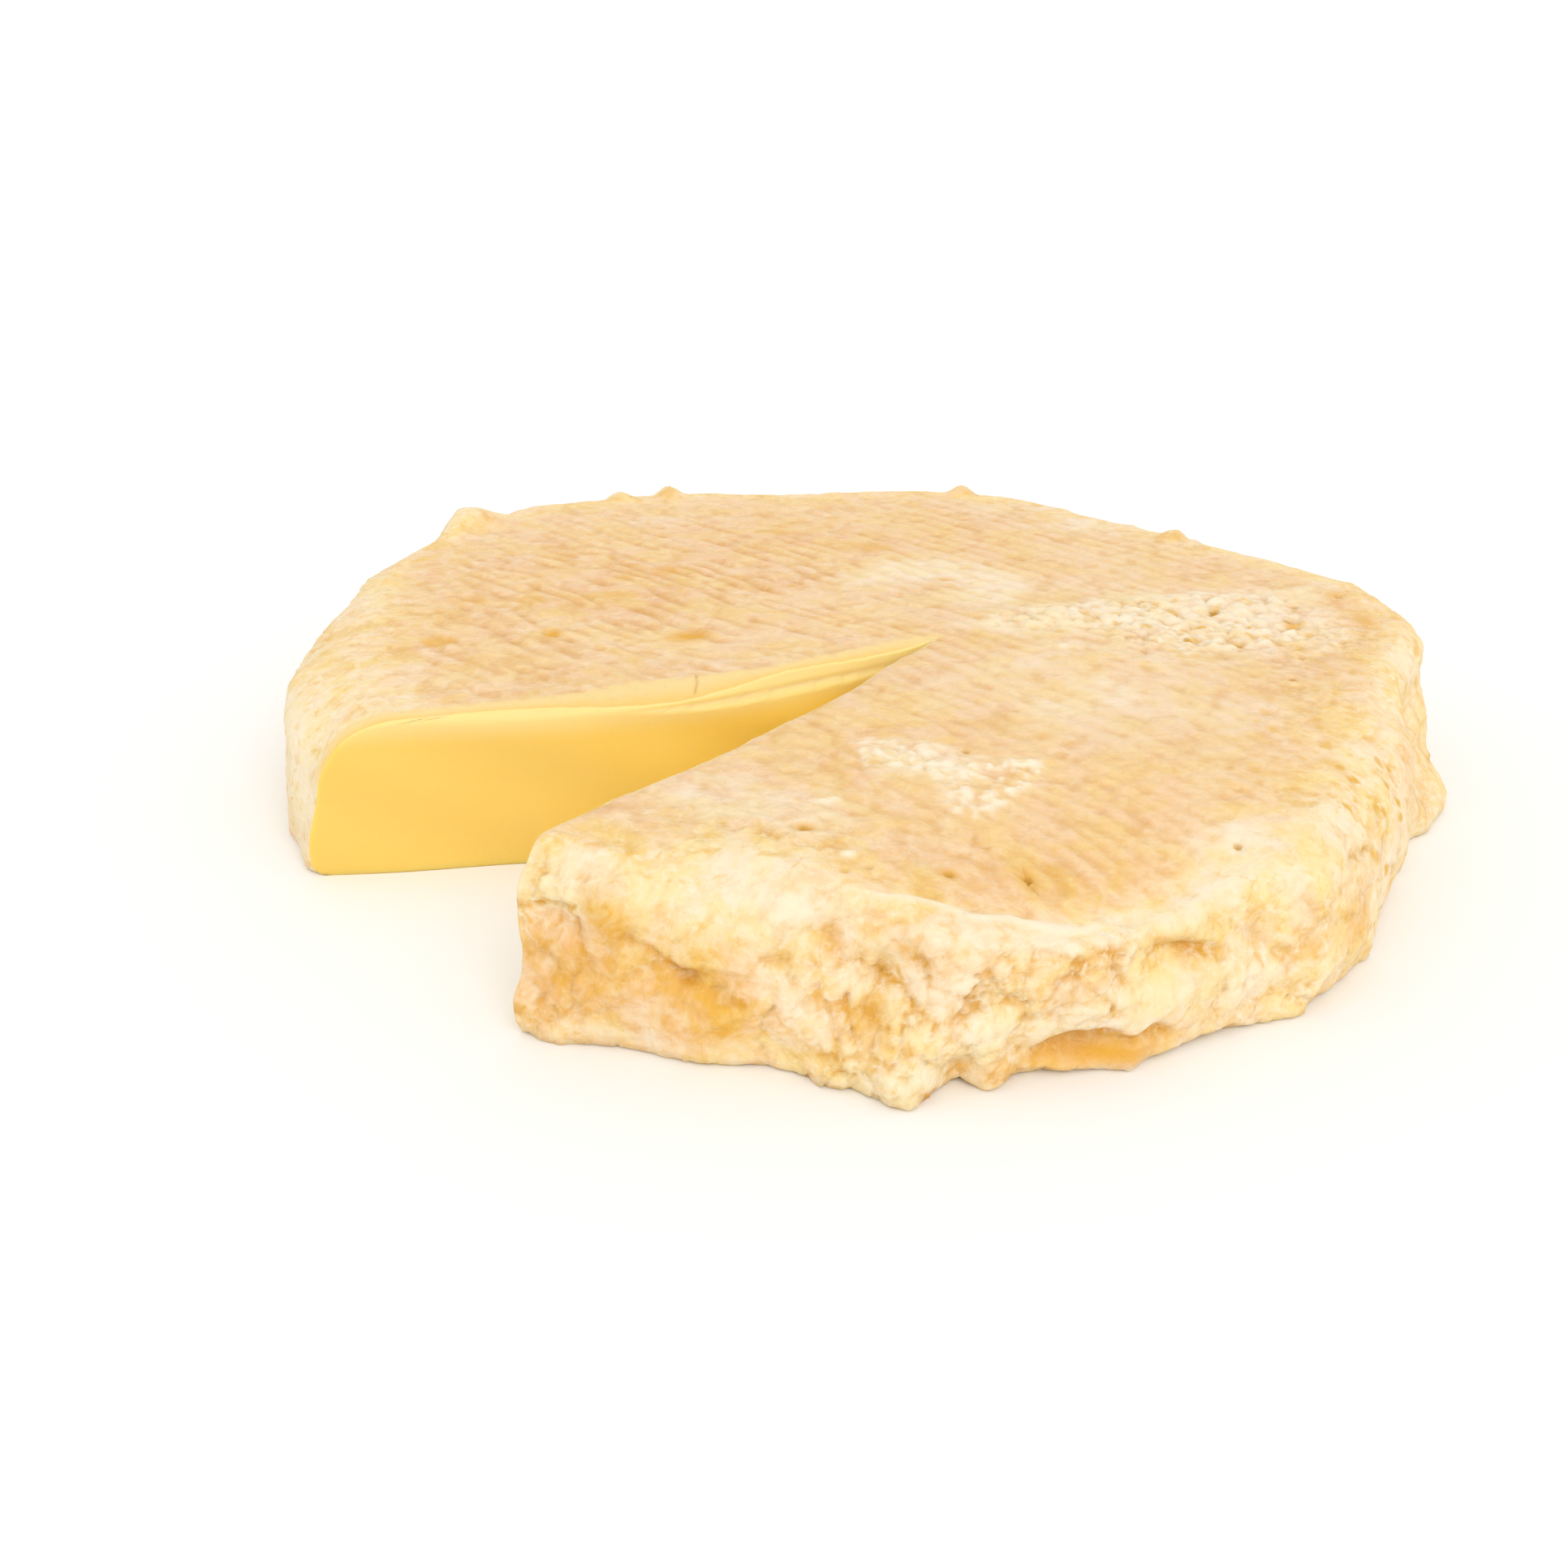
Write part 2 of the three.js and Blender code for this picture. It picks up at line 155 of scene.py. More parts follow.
# Creases and cracks of the side: (half width, depth, [(angle, height), ...]). The creases waver
# by noises of (size, reach), and one of another size breaks them up.
CREASE_WAVERS = [(4.3, 1.1), (1.9, 0.5)]
CREASE_BREAKS = 3.4
SIDE_CREASES = [
    (1.3, 1.1, [(-120.5, 22.0), (-119, 21.4), (-117, 21.8), (-115, 22.6)]),
    (1.3, 0.9, [(-114.6, 20), (-114.2, 17.5), (-113.2, 14.5)]),
    (1.4, 0.8, [(-110.2, 19), (-108.4, 17.2), (-106.6, 15.2), (-105.4, 13.6)]),
    (1.5, 1.0, [(-105.6, 13.8), (-103.6, 12.6), (-100.4, 12)]),
    (1.2, 0.6, [(-110, 13.2), (-108, 14.2), (-106, 14.6)]),
    (1.3, 0.6, [(-99.5, 16.8), (-96.5, 17.6), (-94.6, 18.2)]),
    (1.5, 0.35, [(-86.5, 17.5), (-85.8, 20), (-88.2, 22.6)]),
    (1.3, 0.8, [(-84.6, 16.6), (-83, 15), (-81.8, 13.8)]),
    (1.6, 0.9, [(-66.6, 18.9), (-64.2, 16.8), (-61.6, 15.4)]),
    (1.6, 0.8, [(-73.4, 20), (-70.6, 18.7)]),
    (1.5, 0.8, [(-75.8, 15.6), (-74.2, 18), (-71.6, 17.4), (-70.4, 14.6)]),
    (1.2, 0.7, [(-78.4, 10.6), (-75.6, 12.4), (-72.6, 13)]),
    (1.9, 1.2, [(-77, 3.4), (-74.4, 5.6), (-70.6, 6), (-66.4, 4.6)]),
    (1.2, 0.8, [(-71.2, 11.6), (-70.6, 9.6)]),
    (1.3, 0.8, [(-60.4, 10.4), (-60.6, 7.8)]),
    (1.4, 0.9, [(-54.6, 12), (-53.4, 9.6)]),
    (1.6, 0.8, [(-45.6, 22.4), (-41.8, 20.6)]),
    (1.6, 0.8, [(-11.8, 8), (-10.6, 4)]),
    (1.6, 0.9, [(16.4, 20.4), (18.8, 22)]),
]
# Narrow cracks of the side, in the same form. Their colour is painted dark as shade.
SIDE_CRACKS = [
    (0.5, 0.6, [(-97.7, 11.8), (-98.9, 9.4), (-98.7, 7.2), (-99.1, 5.2), (-98.6, 2.4)]),
    (0.6, 0.6, [(-82.6, 14), (-82, 15.6), (-81.4, 15.2)]), (0.6, 0.5, [(-71.8, 13), (-71.4, 10.8)]),
    (0.7, 0.6, [(-73.6, 4.4), (-71.8, 5.2), (-69.4, 5)]), (0.5, 0.5, [(-104.4, 13.2), (-102, 12.5)]),
    (0.5, 0.4, [(-60.2, 8.8), (-59.8, 7.4)]), (0.5, 0.5, [(-119.8, 21.8), (-117.6, 21.6)]),
]

# The mark of the draining mat on the top: straws 4 mm apart, pressed in patches. The lines
# turn where the cheese was rolled over the front edge.
MAT_PITCH = 4.0
MAT_DEPTH = 0.7
MAT_LEVEL = 0.35  # share of the depth by which the cheese rose between the straws
MAT_SHARPNESS = 1.4
MAT_HEADING = 133
# Size of the noise that bends the lines, its reach on the calm right half, and on the rest.
MAT_WOBBLES = [(30, 2.2, 2.8), (11, 0.7, 1.3), (5, 0.3, 0.7)]
MAT_CALM_FROM = (-10, 30)
MAT_DASH = (6.5, 3.6)  # size of the dashes along and across the lines
MAT_GAPS = (19, 0.3)  # (size, reach) of wider gaps in the lines
MAT_BREAKS = (-0.5, 0.4)
MAT_TURN_PLACE = (34, -88)
MAT_TURN_REACH = 42
MAT_TURN = 20
# How firmly it is pressed in everywhere, and where more: (x, y, half length, half width,
# heading, share).
MAT_SHARE = 0.35
MAT_PATCHES = [
    (44, -30, 66, 44, -60, -0.12), (-34, 32, 80, 52, 20, 0.55), (58, 58, 44, 30, -30, -0.06),
    (-62, -8, 34, 24, -25, 0.25), (0, 80, 70, 26, 0, 0.15), (10, -6, 34, 22, 30, 0.2),
    (34, -88, 34, 16, 5, 0.35),
]
MAT_FADE_FROM_RIM = (2, 13)

# The small pocks of the top, and where it is rough: (x, y, half length, half width, heading, share).
POCK_SIZE = 2.3
POCK_DEPTH = 0.2
TOP_WARP = (5, 1.6)
ROUGH_DEPTH = 1.1
ROUGH_SIZE = 3.2
ROUGH_SEAM_DEPTH = 0.3
ROUGH_CREASE = 0.2  # how rough the raised crease is
ROUGH_LOOSE = (9, 0.2)  # (size, reach) of what loosens the patches
ROUGH_PATCHES = [
    (40, 11, 30, 9, 16, 0.6), (70, 9, 52, 34, 8, 1.0), (-74, 16, 30, 42, 0, 0.35),
    (-22, -74, 38, 24, -40, 0.35), (4, -84, 44, 16, 4, 0.45), (80, -34, 24, 36, 20, 0.4),
    (-8, -58, 24, 12, 0, 0.25), (10, -56, 22, 14, 0, 0.5),
]
# Tufts of dried bloom stand on the top.
TUFT_PATCHES = [
    (8, -54, 19, 11, -8, 0.75), (22, -58, 14, 9, 45, 0.9), (15, -68, 13, 10, 60, 0.6),
    (-7, -71, 6, 4, 0, 0.5), (-3, -88, 5, 3, 0, 0.5), (66, 9, 54, 30, 8, 0.5),
]
TUFT_HEIGHT = 0.45
TUFT_SIZE = 2.2
TUFT_WARP = (2.6, 1.5)
TUFT_RAGGED = (1.9, 0.35)  # (size, reach) of what frays each tuft, and of what loosens the patches
TUFT_LOOSE = (5.5, 0.35)
# Pinholes go into it: (x, y, radius, depth).
PINHOLES = [
    (-10.8, 34.7, 1.0, 0.5), (20, 36.4, 1.1, 0.5), (25, 34.4, 0.8, 0.4), (27.8, 24, 0.9, 0.5),
    (72.1, -0.2, 1.5, 1.3), (85.1, 13.2, 1.6, 1.3), (84.6, 9.2, 1.3, 1.1), (77.7, -19.3, 0.9, 0.9),
    (71.2, 17.4, 1.4, 1.0), (62.9, 0.8, 1.3, 0.9), (52.3, 2.2, 1.4, 0.8), (-9.4, -81.1, 1.2, 1.0),
    (-0.2, -90.6, 0.9, 0.9), (-3.9, -92.7, 0.9, 0.6), (-17.7, -95.2, 0.9, 1.0),
    (23.4, -87.3, 0.9, 0.9), (11.5, -89.4, 1.1, 0.6), (56.1, -77.9, 1.0, 0.9),
    (17.2, -50.4, 0.9, 0.8), (98, 27.5, 1.2, 0.7), (64, 14, 1.1, 0.8), (88, 22, 1.1, 0.8),
    (47, 12, 0.9, 0.6), (79, 3, 1.0, 0.8), (58, 22, 1.0, 0.7), (92, 2, 1.0, 0.7),
]
# Wider dimples, in the same form.
DIMPLES = [(-77, 0.4, 3, 0.7), (-56.4, 4.6, 2.2, 0.6), (-30, 3, 3.4, 0.35), (-74.5, 24.9, 2.6, 0.4)]
# Cracks and slits of the top: (half width, depth, [(x, y), ...]).
TOP_CRACKS = [
    (0.4, 0.3, [(22.9, -85), (23.4, -87.2), (23.3, -88.6), (24.6, -90.6)]),
    (0.4, 0.4, [(-28.1, -18.6), (-27.9, -21), (-28.2, -23.6)]),
    (0.4, 0.35, [(-41, -63.5), (-38, -64.6), (-36, -66.5), (-33, -66)]),
]
CRACK_STEP = 0.35
# The rind was pinched up in a ridge along the front: (half width, height, [(x, y), ...]).
FRONT_RIDGE = (1.3, 0.5, [
    (-2.4, -96.7), (2.9, -97.9), (12.1, -98.1), (21.1, -98.6), (31, -96.9), (38.7, -92.1), (44, -88.9),
])
RIDGE_FADES = (-6, 6, 26, 46)  # it rises and dies away over these, in x
RIDGE_WAVER = (7, 0.9)  # (size, reach) of its waver, and of its change in width
RIDGE_SWELLS = (5, 0.4)

# The paste sags at the lip of the far cut: (distance along the cut, half width, added width).
LIP_WIDTH = 2.6
LIP_WIDTHS = [(56, 28, 4.6), (8, 30, 1.2)]
LIP_SLOPE = 0.27
NEAR_LIP_WIDTH = 1.8
LIP_STARTS_OVER = (-6, 8)  # in distance along the cut
LIP_FADES_OVER = (15, 28)  # in height
PASTE_DULLER_FROM = (25, 85)  # the paste's colour turns a duller gold over these distances from the point of the cut

# ---------------- where the colours change

# Sizes of the noises that vary the colours, two of them bent by a warp: (size, reach).
BLOTCH_SIZE = 24
CLOUD_SIZE = 11
MOTTLE_SIZE = 6.5
MOTTLE_WARP = (6, 3)
SPECK_SIZE = 3.1
SPECK_WARP = (3, 1.5)
TOP_TAN = 0.42  # shares that hold everywhere, to which the patches add
SIDE_TAN = 0.12
SIDE_BLOOM = 0.35

# (x, y, half length, half width, heading, share) on the top.
BLOOM_PATCHES = [
    (12, 42, 24, 15, 20, 0.75), (30, 30, 20, 14, 70, 0.65), (10, -56, 22, 14, -20, 0.4),
    (-18, -72, 32, 16, -20, 0.7), (44, 10, 40, 9, 16, 0.6), (84, 18, 30, 20, 16, 0.3),
    (-40, 80, 18, 8, -20, 0.6), (-96, 6, 14, 36, 0, 0.4), (66, 27, 24, 8, 10, 0.4),
    (46, 80, 40, 16, -30, 0.4), (-80, -22, 24, 22, 0, 0.5), (-78, 52, 22, 16, 70, 0.45),
    (-52, 8, 18, 8, 20, 0.35), (60, -62, 26, 16, 60, 0.2), (40, -25, 50, 36, 0, 0.25),
    (10, 24, 20, 10, 0, 0.3), (57, -80, 20, 14, 35, 0.9),
]
RIGHT_BLOOM = 0.25  # the right half of the top is the paler one
CALM_MOTTLE = 0.5  # and how much less mottled it is than the left one
TAN_PATCHES = [
    (-30, 38, 50, 40, 15, 0.25), (-10, 66, 34, 20, 0, 0.25), (-72, 58, 30, 22, 60, 0.15),
    (46, 46, 34, 20, -20, 0.1), (22, -88, 34, 14, 6, 0.35), (-40, 22, 26, 14, 0, 0.15),
    (60, -50, 30, 26, 30, 0.05), (96, 26, 14, 12, 0, 0.3), (92, -30, 16, 30, 0, 0.25),
]
STAINS = [
    (-77, 0.2, 4.6, 4.4, 0, 1.0), (-56.4, 4.2, 3.8, 3.6, 0, 0.9), (-30, 2.6, 7.5, 5.6, 20, 0.9),
    (-73.8, 23.2, 6.5, 4.6, 40, 0.7), (4.7, 58.5, 8, 5, 0, 0.6), (99.6, 13.5, 5, 3.4, 90, 1.0),
    (97.4, 26.9, 6, 4, 60, 0.7), (-44.8, 25.7, 6, 5, 0, 0.5), (-88, 62, 5, 5, 0, 0.35),
    (-9.4, -81.1, 3, 2, 0, 0.8), (-78, 74, 2.4, 2, -50, 0.7), (20, 36.4, 4, 2.4, 0, 0.6),
    (-61.4, 23.2, 5, 4, 0, 0.5), (-36.9, 41.5, 7, 5, 40, 0.5), (-39.6, 99, 3.4, 3, 0, 0.7),
    (-52, 95.3, 4, 4, 0, 0.3), (29.8, 100.2, 4, 4, 0, 0.4), (74, 67.9, 4, 4, 0, 0.3),
    (72, 0, 3, 2.4, 0, 0.6), (85, 11, 3, 5, 0, 0.8), (11.5, -89.4, 3, 2, 0, 0.7),
    (30.6, -44.4, 3.4, 2.6, 0, 0.5), (90.9, 62, 6, 4, -30, 0.6), (42, 77, 6, 3, 0, 0.5),
    (23.4, -87.3, 2, 3, 0, 0.6), (72.7, -45.1, 2.4, 3, 0, 0.5), (-11, 31.9, 2, 1.6, 0, 0.6),
    (-13.2, 69.9, 7, 3, 0, 0.4), (77, -54, 3, 8, 20, 0.35), (72, -60, 3, 7, 20, 0.35),
]
# Where the top is golden, as the side is.
GOLD_PATCHES = [
    (22, -88, 56, 18, 8, 0.7), (-30, -88, 30, 14, -20, 0.6), (-76, -34, 26, 14, 0, 0.5),
    (66, -58, 34, 20, 60, 0.4),
]
# Where fine golden pores prick it, also down the side.
PRICKED_PATCHES = [(68, 9, 50, 28, 8, 0.9), (82, -58, 24, 42, 15, 1.0), (24, -98, 30, 12, 0, 0.3)]
# (angle, height, half width, half height, share) on the side.
SIDE_TANS = [
    (-109, 12, 17, 15, 0.8), (-116, 12, 7, 11, 0.55), (-111, 22, 6, 7, 0.6), (-103, 9, 9, 9, 0.35),
    # The patch at (-73, 3) is painted shade: the foot band under the overhang, gold as if in shadow.
    (-90.5, 11, 5, 7, 0.8), (-86, 22.4, 5, 5, 0.2), (-74, 16.5, 7, 6, 0.4), (-73, 3, 11, 4.5, 0.9),
    (-61, 12, 5, 7, 0.4), (-57, 15, 4, 7, 0.6), (-53.5, 11, 4, 6, 0.6), (-45, 13, 5, 6, 0.6),
    (-38, 19, 7, 6, 0.4), (-12, 8, 9, 9, 0.4), (18, 21.5, 5, 5, 0.8), (12, 8, 11, 9, 0.4),
    (60, 14, 22, 10, 0.4), (110, 12, 24, 10, 0.35), (160, 16, 24, 9, 0.3), (-24, 14, 6, 8, 0.4),
    (-88, 22, 16, 9, 0.35), (-20, 22, 18, 7, 0.25),
]
# Painted shade at the foot of the side: deep gold patches, darkest under the overhang.
FOOT_SHADE_PATCHES = [(-71.5, 3.4, 8, 3, 1.0), (-79, 2.4, 4, 2.6, 0.4), (-112, 1.5, 4, 2.4, 0.3)]
SIDE_BLOOMS = [
    (-101, 26, 12, 7, 0.6), (-84, 14, 8, 9, 0.4), (-71, 22.5, 20, 3.6, 1.0), (-77, 9, 9, 6, 0.6),
    (-68, 10, 10, 6, 0.7), (-58, 8, 6, 7, 0.6), (-48, 24, 12, 7, 0.5), (-86, 4, 8, 5, 0.6),
    (2, 26, 9, 6, 0.6), (-170, 18, 30, 14, 0.6), (80, 22, 24, 9, 0.4), (-118, 25, 5, 4, 0.7),
    (-112, 3, 8, 3, 0.4), (-34, 12, 10, 9, 0.4), (40, 14, 16, 9, 0.4), (130, 20, 20, 8, 0.4),
]

# ---------------- steps of the mesh

NEAR_CUT_SPAN = (-105, -136)  # an angle on the cheese and one in the gap, either side of the cut
FAR_CUT_SPAN = (195, 222)
HALVINGS = 36
SIDE_STEP = 0.62
FRONT_ANGLE = -60
FRONT_REACH = (65, 110)
BACK_COARSER = 0.55
FACE_STEP = 1.2
CORNER_ROWS_FROM = (0.9, 1.0)  # where a cut face takes over the levels of its corner
CORNER_STEPS = (0.25, 0.6, 1.1)
FOOT_ROWS = 3
SIDE_ROWS = 27
SHOULDER_ROWS = 17
HOLE_RINGS = [(0.0, 1), (0.45, 6), (0.9, 10)]  # in a pinhole: (share of its radius, places)
CRACK_ROWS = (-1.0, -0.45, 0.0, 0.45, 1.0)  # along a crack, in half widths from its middle
LATTICE_REACH = 130
LATTICE_ACROSS = 0.68
LATTICE_ALONG = 0.92
LATTICE_GAP = 0.3
CORNER_ROUNDS = 4
CORNER_PULL = 0.6
CORNER_SPREAD = 1.6

# ---------------- the camera

CAMERA_TARGET = (-16.13, 2.35, 0)  # in the part's frame
CAMERA_DISTANCE = 380
CAMERA_ELEVATION = 24
VIEW_WIDTH = 303.6  # how wide the view is at the target
SENSOR_WIDTH = 36


def metres(*lengths):
    """Millimetres as metres, in a tuple."""
    return tuple(length / 1000 for length in lengths)


def add_camera():
    """A camera that looks level with +Y and down by the elevation, at the target."""
    tilt = radians(CAMERA_ELEVATION)
    data = bpy.data.cameras.new("camera")
    data.sensor_width = SENSOR_WIDTH
    data.lens = SENSOR_WIDTH * CAMERA_DISTANCE / VIEW_WIDTH
    camera = bpy.data.objects.new("camera", data)
    x, y, z = CAMERA_TARGET
    camera.location = metres(x, y - CAMERA_DISTANCE * np.cos(tilt), z + CAMERA_DISTANCE * np.sin(tilt))
    camera.rotation_euler = (radians(90) - tilt, 0, 0)
    bpy.context.scene.collection.objects.link(camera)
    bpy.context.scene.camera = camera


# ---------------- small functions

def smoothstep(value, low, high):
    """3t^2 - 2t^3, with t = (value - low) / (high - low) held between 0 and 1."""
    t = np.clip((value - low) / (high - low), 0.0, 1.0)
    return t * t * (3.0 - 2.0 * t)


def mix(first, second, share):
    """first + (second - first) share."""
    return first + (second - first) * share


def swell(distance, half_width):
    """0.5 + 0.5 cos(pi |distance| / half width): 1 in the middle, 0 from the half width on."""
    return 0.5 + 0.5 * np.cos(np.pi * np.minimum(np.abs(distance) / half_width, 1.0))


def turn_from(start, angle):
    """The way round from one angle to another, between -180 and 180."""
    return (angle - start + 180.0) % 360.0 - 180.0


def around(angle, features):
    """The sum of amount * swell(angle - at, half width)."""
    return sum(amount * swell(turn_from(at, angle), half) for at, half, amount in features)


def on_side(angle, height, features):
    """The sum of amount * swell(angle - at, half width) * swell(height - level, half height)."""
    total = 0.0
    for at, level, half_width, half_height, amount in features:
        total = total + amount * swell(turn_from(at, angle), half_width) * swell(height - level, half_height)
    return total


def on_top(x, y, patches):
    """The sum of share * swell(q, 1), where q is 1 on the patch's ellipse: its half length lies
    along its heading, and its half width across it."""
    total = 0.0
    for at_x, at_y, half_length, half_width, heading, share in patches:
        cos, sin = np.cos(radians(heading)), np.sin(radians(heading))
        along = (x - at_x) * cos + (y - at_y) * sin
        across = (y - at_y) * cos - (x - at_x) * sin
        total = total + share * swell(np.hypot(along / half_length, across / half_width), 1.0)
    return total


def near_line(u, v, half_width, places):
    """swell(distance to the line through the places, half width)."""
    nearest = 0.0
    for (u0, v0), (u1, v1) in zip(places, places[1:]):
        du, dv = u1 - u0, v1 - v0
        along = np.clip(((u - u0) * du + (v - v0) * dv) / (du * du + dv * dv), 0.0, 1.0)
        distance = np.hypot(u - u0 - along * du, v - v0 - along * dv)
        nearest = np.maximum(nearest, swell(distance, half_width))
    return nearest


def lattice_value(i, j, k):
    """A fixed value between -1 and 1 for each corner of a unit lattice: its whole numbers are
    multiplied by large primes, added and shuffled by shifts, all modulo 2^32."""
    low_bits = 0xFFFFFFFF
    value = (i * 374761393 + j * 668265263 + k * 2246822519) & low_bits
    value = ((value ^ (value >> 13)) * 1274126177) & low_bits
    value = value ^ (value >> 16)
    return value / 4294967296.0 * 2.0 - 1.0


def noise(place, size):
    """Smooth noise between -1 and 1: lattice values blended over a cell of the given size, with
    the weights 3t^2 - 2t^3 along each axis."""
    scaled = np.asarray(place, float) / size
    corner = np.floor(scaled)
    t = scaled - corner
    t = t * t * (3.0 - 2.0 * t)
    i, j, k = np.moveaxis(corner.astype(np.int64), -1, 0)
    total = 0.0
    for step in np.ndindex(2, 2, 2):
        weight = np.where(step, t, 1 - t).prod(-1)
        total = total + weight * lattice_value(i + step[0], j + step[1], k + step[2])
    return total


def ripple(place, size, reach):
    """reach * noise."""
    return reach * noise(place, size)


def lumps(place, size):
    """1 - 2 |noise|^0.8: ridges with wide hollows between them."""
    return 1.0 - 2.0 * np.abs(noise(place, size)) ** LUMP_SHARPNESS


def flakes(place, size):
    """Flakes: one loose point stands in each cell of a lattice. The first number is the distance
    to the nearest of them and the second how much farther the next one is, both over the size,
    so a flake's top is 0 in the first and its seams are 0 in the second. The third is each
    flake's own slant: the way from its point, times a loose direction."""
    scaled = np.asarray(place, float) / size
    corner = np.floor(scaled).astype(np.int64)
    nearest = np.full(scaled.shape[:-1], 9.0)
    second, slant = nearest, nearest
    for step in np.ndindex(3, 3, 3):
        cell = corner + np.array(step) - 1
        i, j, k = np.moveaxis(cell, -1, 0)
        loose = [lattice_value(i + turn, j - turn, k + 3 * turn) for turn in (0, 911, 2203)]
        way = scaled - cell - 0.5 - FLAKE_LOOSENESS * np.stack(loose, -1)
        away = np.linalg.norm(way, axis=-1)
        slant = np.where(away < nearest, (way * np.stack(loose[1:] + loose[:1], -1)).sum(-1), slant)
        second = np.minimum(second, np.maximum(nearest, away))
        nearest = np.minimum(nearest, away)
    return nearest, second - nearest, slant


def warped(place, size, reach):
    """The places, each moved up to the reach by three noises of the given size."""
    shifts = [noise(np.asarray(place) + offset, size) for offset in (17.3, 51.9, 88.1)]
    return np.asarray(place) + reach * np.stack(shifts, -1)


# ---------------- the wheel's section

SECTION = [
    (RIM_RADIUS, RIM_BULGES), (EDGE_HEIGHT, EDGE_SAGS), (SHOULDER_WIDTH, SHOULDER_WIDTHS),
    (SHOULDER_DROP, SHOULDER_DROPS), (LEAN, LEANS), (0, FOOT_FLARES),
]


def section_at(angle):
    """Rim radius, edge height, shoulder width, shoulder drop, lean and foot flare at an angle:
    usual size + what swells and dies away there."""
    return [usual + around(angle, swellings) for usual, swellings in SECTION]


def section_point(angle, level):
    """Radius, height and slope of the smooth section. The level runs 0-1 over the foot, 1-2 up
    the side and 2-3 over the shoulder, and t is the share of its stretch.
    foot:     r = rim + flare - 2 + 2 sin 90t,  z = 2 (1 - cos 90t)
    side:     r = rim + flare swell(z - 2, 9) - lean t^2,  z from 2 to edge - drop
    shoulder: r = rim - lean - width (1 - cos 90t),  z = edge - drop (1 - sin 90t)"""
    rim, edge, width, drop, lean, flare = section_at(angle)
    t = np.clip(level - np.array([0.0, 1.0, 2.0]).reshape(3, *[1] * np.ndim(level)), 0.0, 1.0)
    foot_turn, shoulder_turn = np.pi / 2 * t[0], np.pi / 2 * t[2]
    foot_radius = rim + flare - FOOT_ROUND + FOOT_ROUND * np.sin(foot_turn)
    side_height = mix(FOOT_ROUND, edge - drop, t[1])
    side_radius = rim + flare * swell(side_height - FOOT_ROUND, FOOT_REACH) - lean * t[1] ** 2
    shoulder_radius = rim - lean - width * (1 - np.cos(shoulder_turn))
    stretch = [level < 1, level < 2]
    radius = np.select(stretch, [foot_radius, side_radius], shoulder_radius)
    foot_height = FOOT_ROUND * (1 - np.cos(foot_turn))
    shoulder_height = edge - drop * (1 - np.sin(shoulder_turn))
    height = np.select(stretch, [foot_height, side_height], shoulder_height)
    return radius, height, np.select(stretch, [90 * t[0] - 90, 0 * t[1]], 90 * t[2])


def top_edge_radius(angle):
    """Where the shoulder ends and the top begins: rim - lean - width."""
    rim, _, width, _, lean, _ = section_at(angle)
    return rim - lean - width


# ---------------- the cut

def knife_path(heading, heading_at_rim):
    """Distance along a stroke of the knife, x, y and heading: the place is the sum of
    (cos, sin) of the heading, which turns by smoothstep. It runs on straight behind the point."""
    step = 0.5
    along = np.arange(-CUT_LENGTH, CUT_LENGTH + step, step)
    turned = mix(heading, heading_at_rim, smoothstep(along, *FAR_TURN))
    start = int(CUT_LENGTH / step)
    x, y = (np.cumsum(f(np.radians(turned))) * step for f in (np.cos, np.sin))
    return along, x - x[start] + CUT_POINT[0], y - y[start] + CUT_POINT[1], np.radians(turned)


FAR_PATH = knife_path(FAR_HEADING, FAR_HEADING_AT_RIM)
NEAR_PATH = knife_path(NEAR_HEADING, NEAR_HEADING)
CUTS = {"far": (FAR_PATH, 1.0, 1.0), "near": (NEAR_PATH, -1.0, 0.0)}  # path, gap's side, form share


def face_offset(along, height, form_share):
    """How far a cut face stands into the gap: opened (wave + form share (bevel + kept (ledge -
    groove)) + (1 - form share) bow), each a smoothstep or a swell of the distance along the cut
    and the depth."""
    ledge_at = mix(LEDGE_DEPTH_AT_POINT, LEDGE_DEPTH, smoothstep(along, 0, LEDGE_ENDS))
    depth = (THICKNESS - height) * LEDGE_DEPTH / ledge_at
    bevel = BEVEL_OUT * smoothstep(depth, 0, BEVEL_HEIGHT)
    wave = KNIFE_WAVE * np.sin(2 * np.pi * along / KNIFE_WAVE_LENGTH + depth / LEDGE_DEPTH)
    ledge = LEDGE_OUT * smoothstep(depth, LEDGE_DEPTH, LEDGE_DEPTH + LEDGE_RISE)
    groove = LEDGE_GROOVE * swell(depth - LEDGE_DEPTH, LEDGE_RISE)
    kept = 1 - smoothstep(along, LEDGE_ENDS - LEDGE_FADES_OVER, LEDGE_ENDS)
    opened = smoothstep(along, 0, CUT_OPENS_OVER)
    bow_at, bow_reach, bow = NEAR_BOW
    near_form = bow * swell(along - bow_at, bow_reach)
    return opened * (wave + form_share * (bevel + kept * (ledge - groove)) + (1 - form_share) * near_form)


def face_point(cut, along, height):
    """path(along) + side * offset * (-sin, cos) of the heading, at a height."""
    (path_along, path_x, path_y, path_turn), side, form_share = CUTS[cut]
    turn = np.interp(along, path_along, path_turn)
    offset = side * face_offset(along, height, form_share)
    x = np.interp(along, path_along, path_x) - offset * np.sin(turn)
    return x, np.interp(along, path_along, path_y) + offset * np.cos(turn)


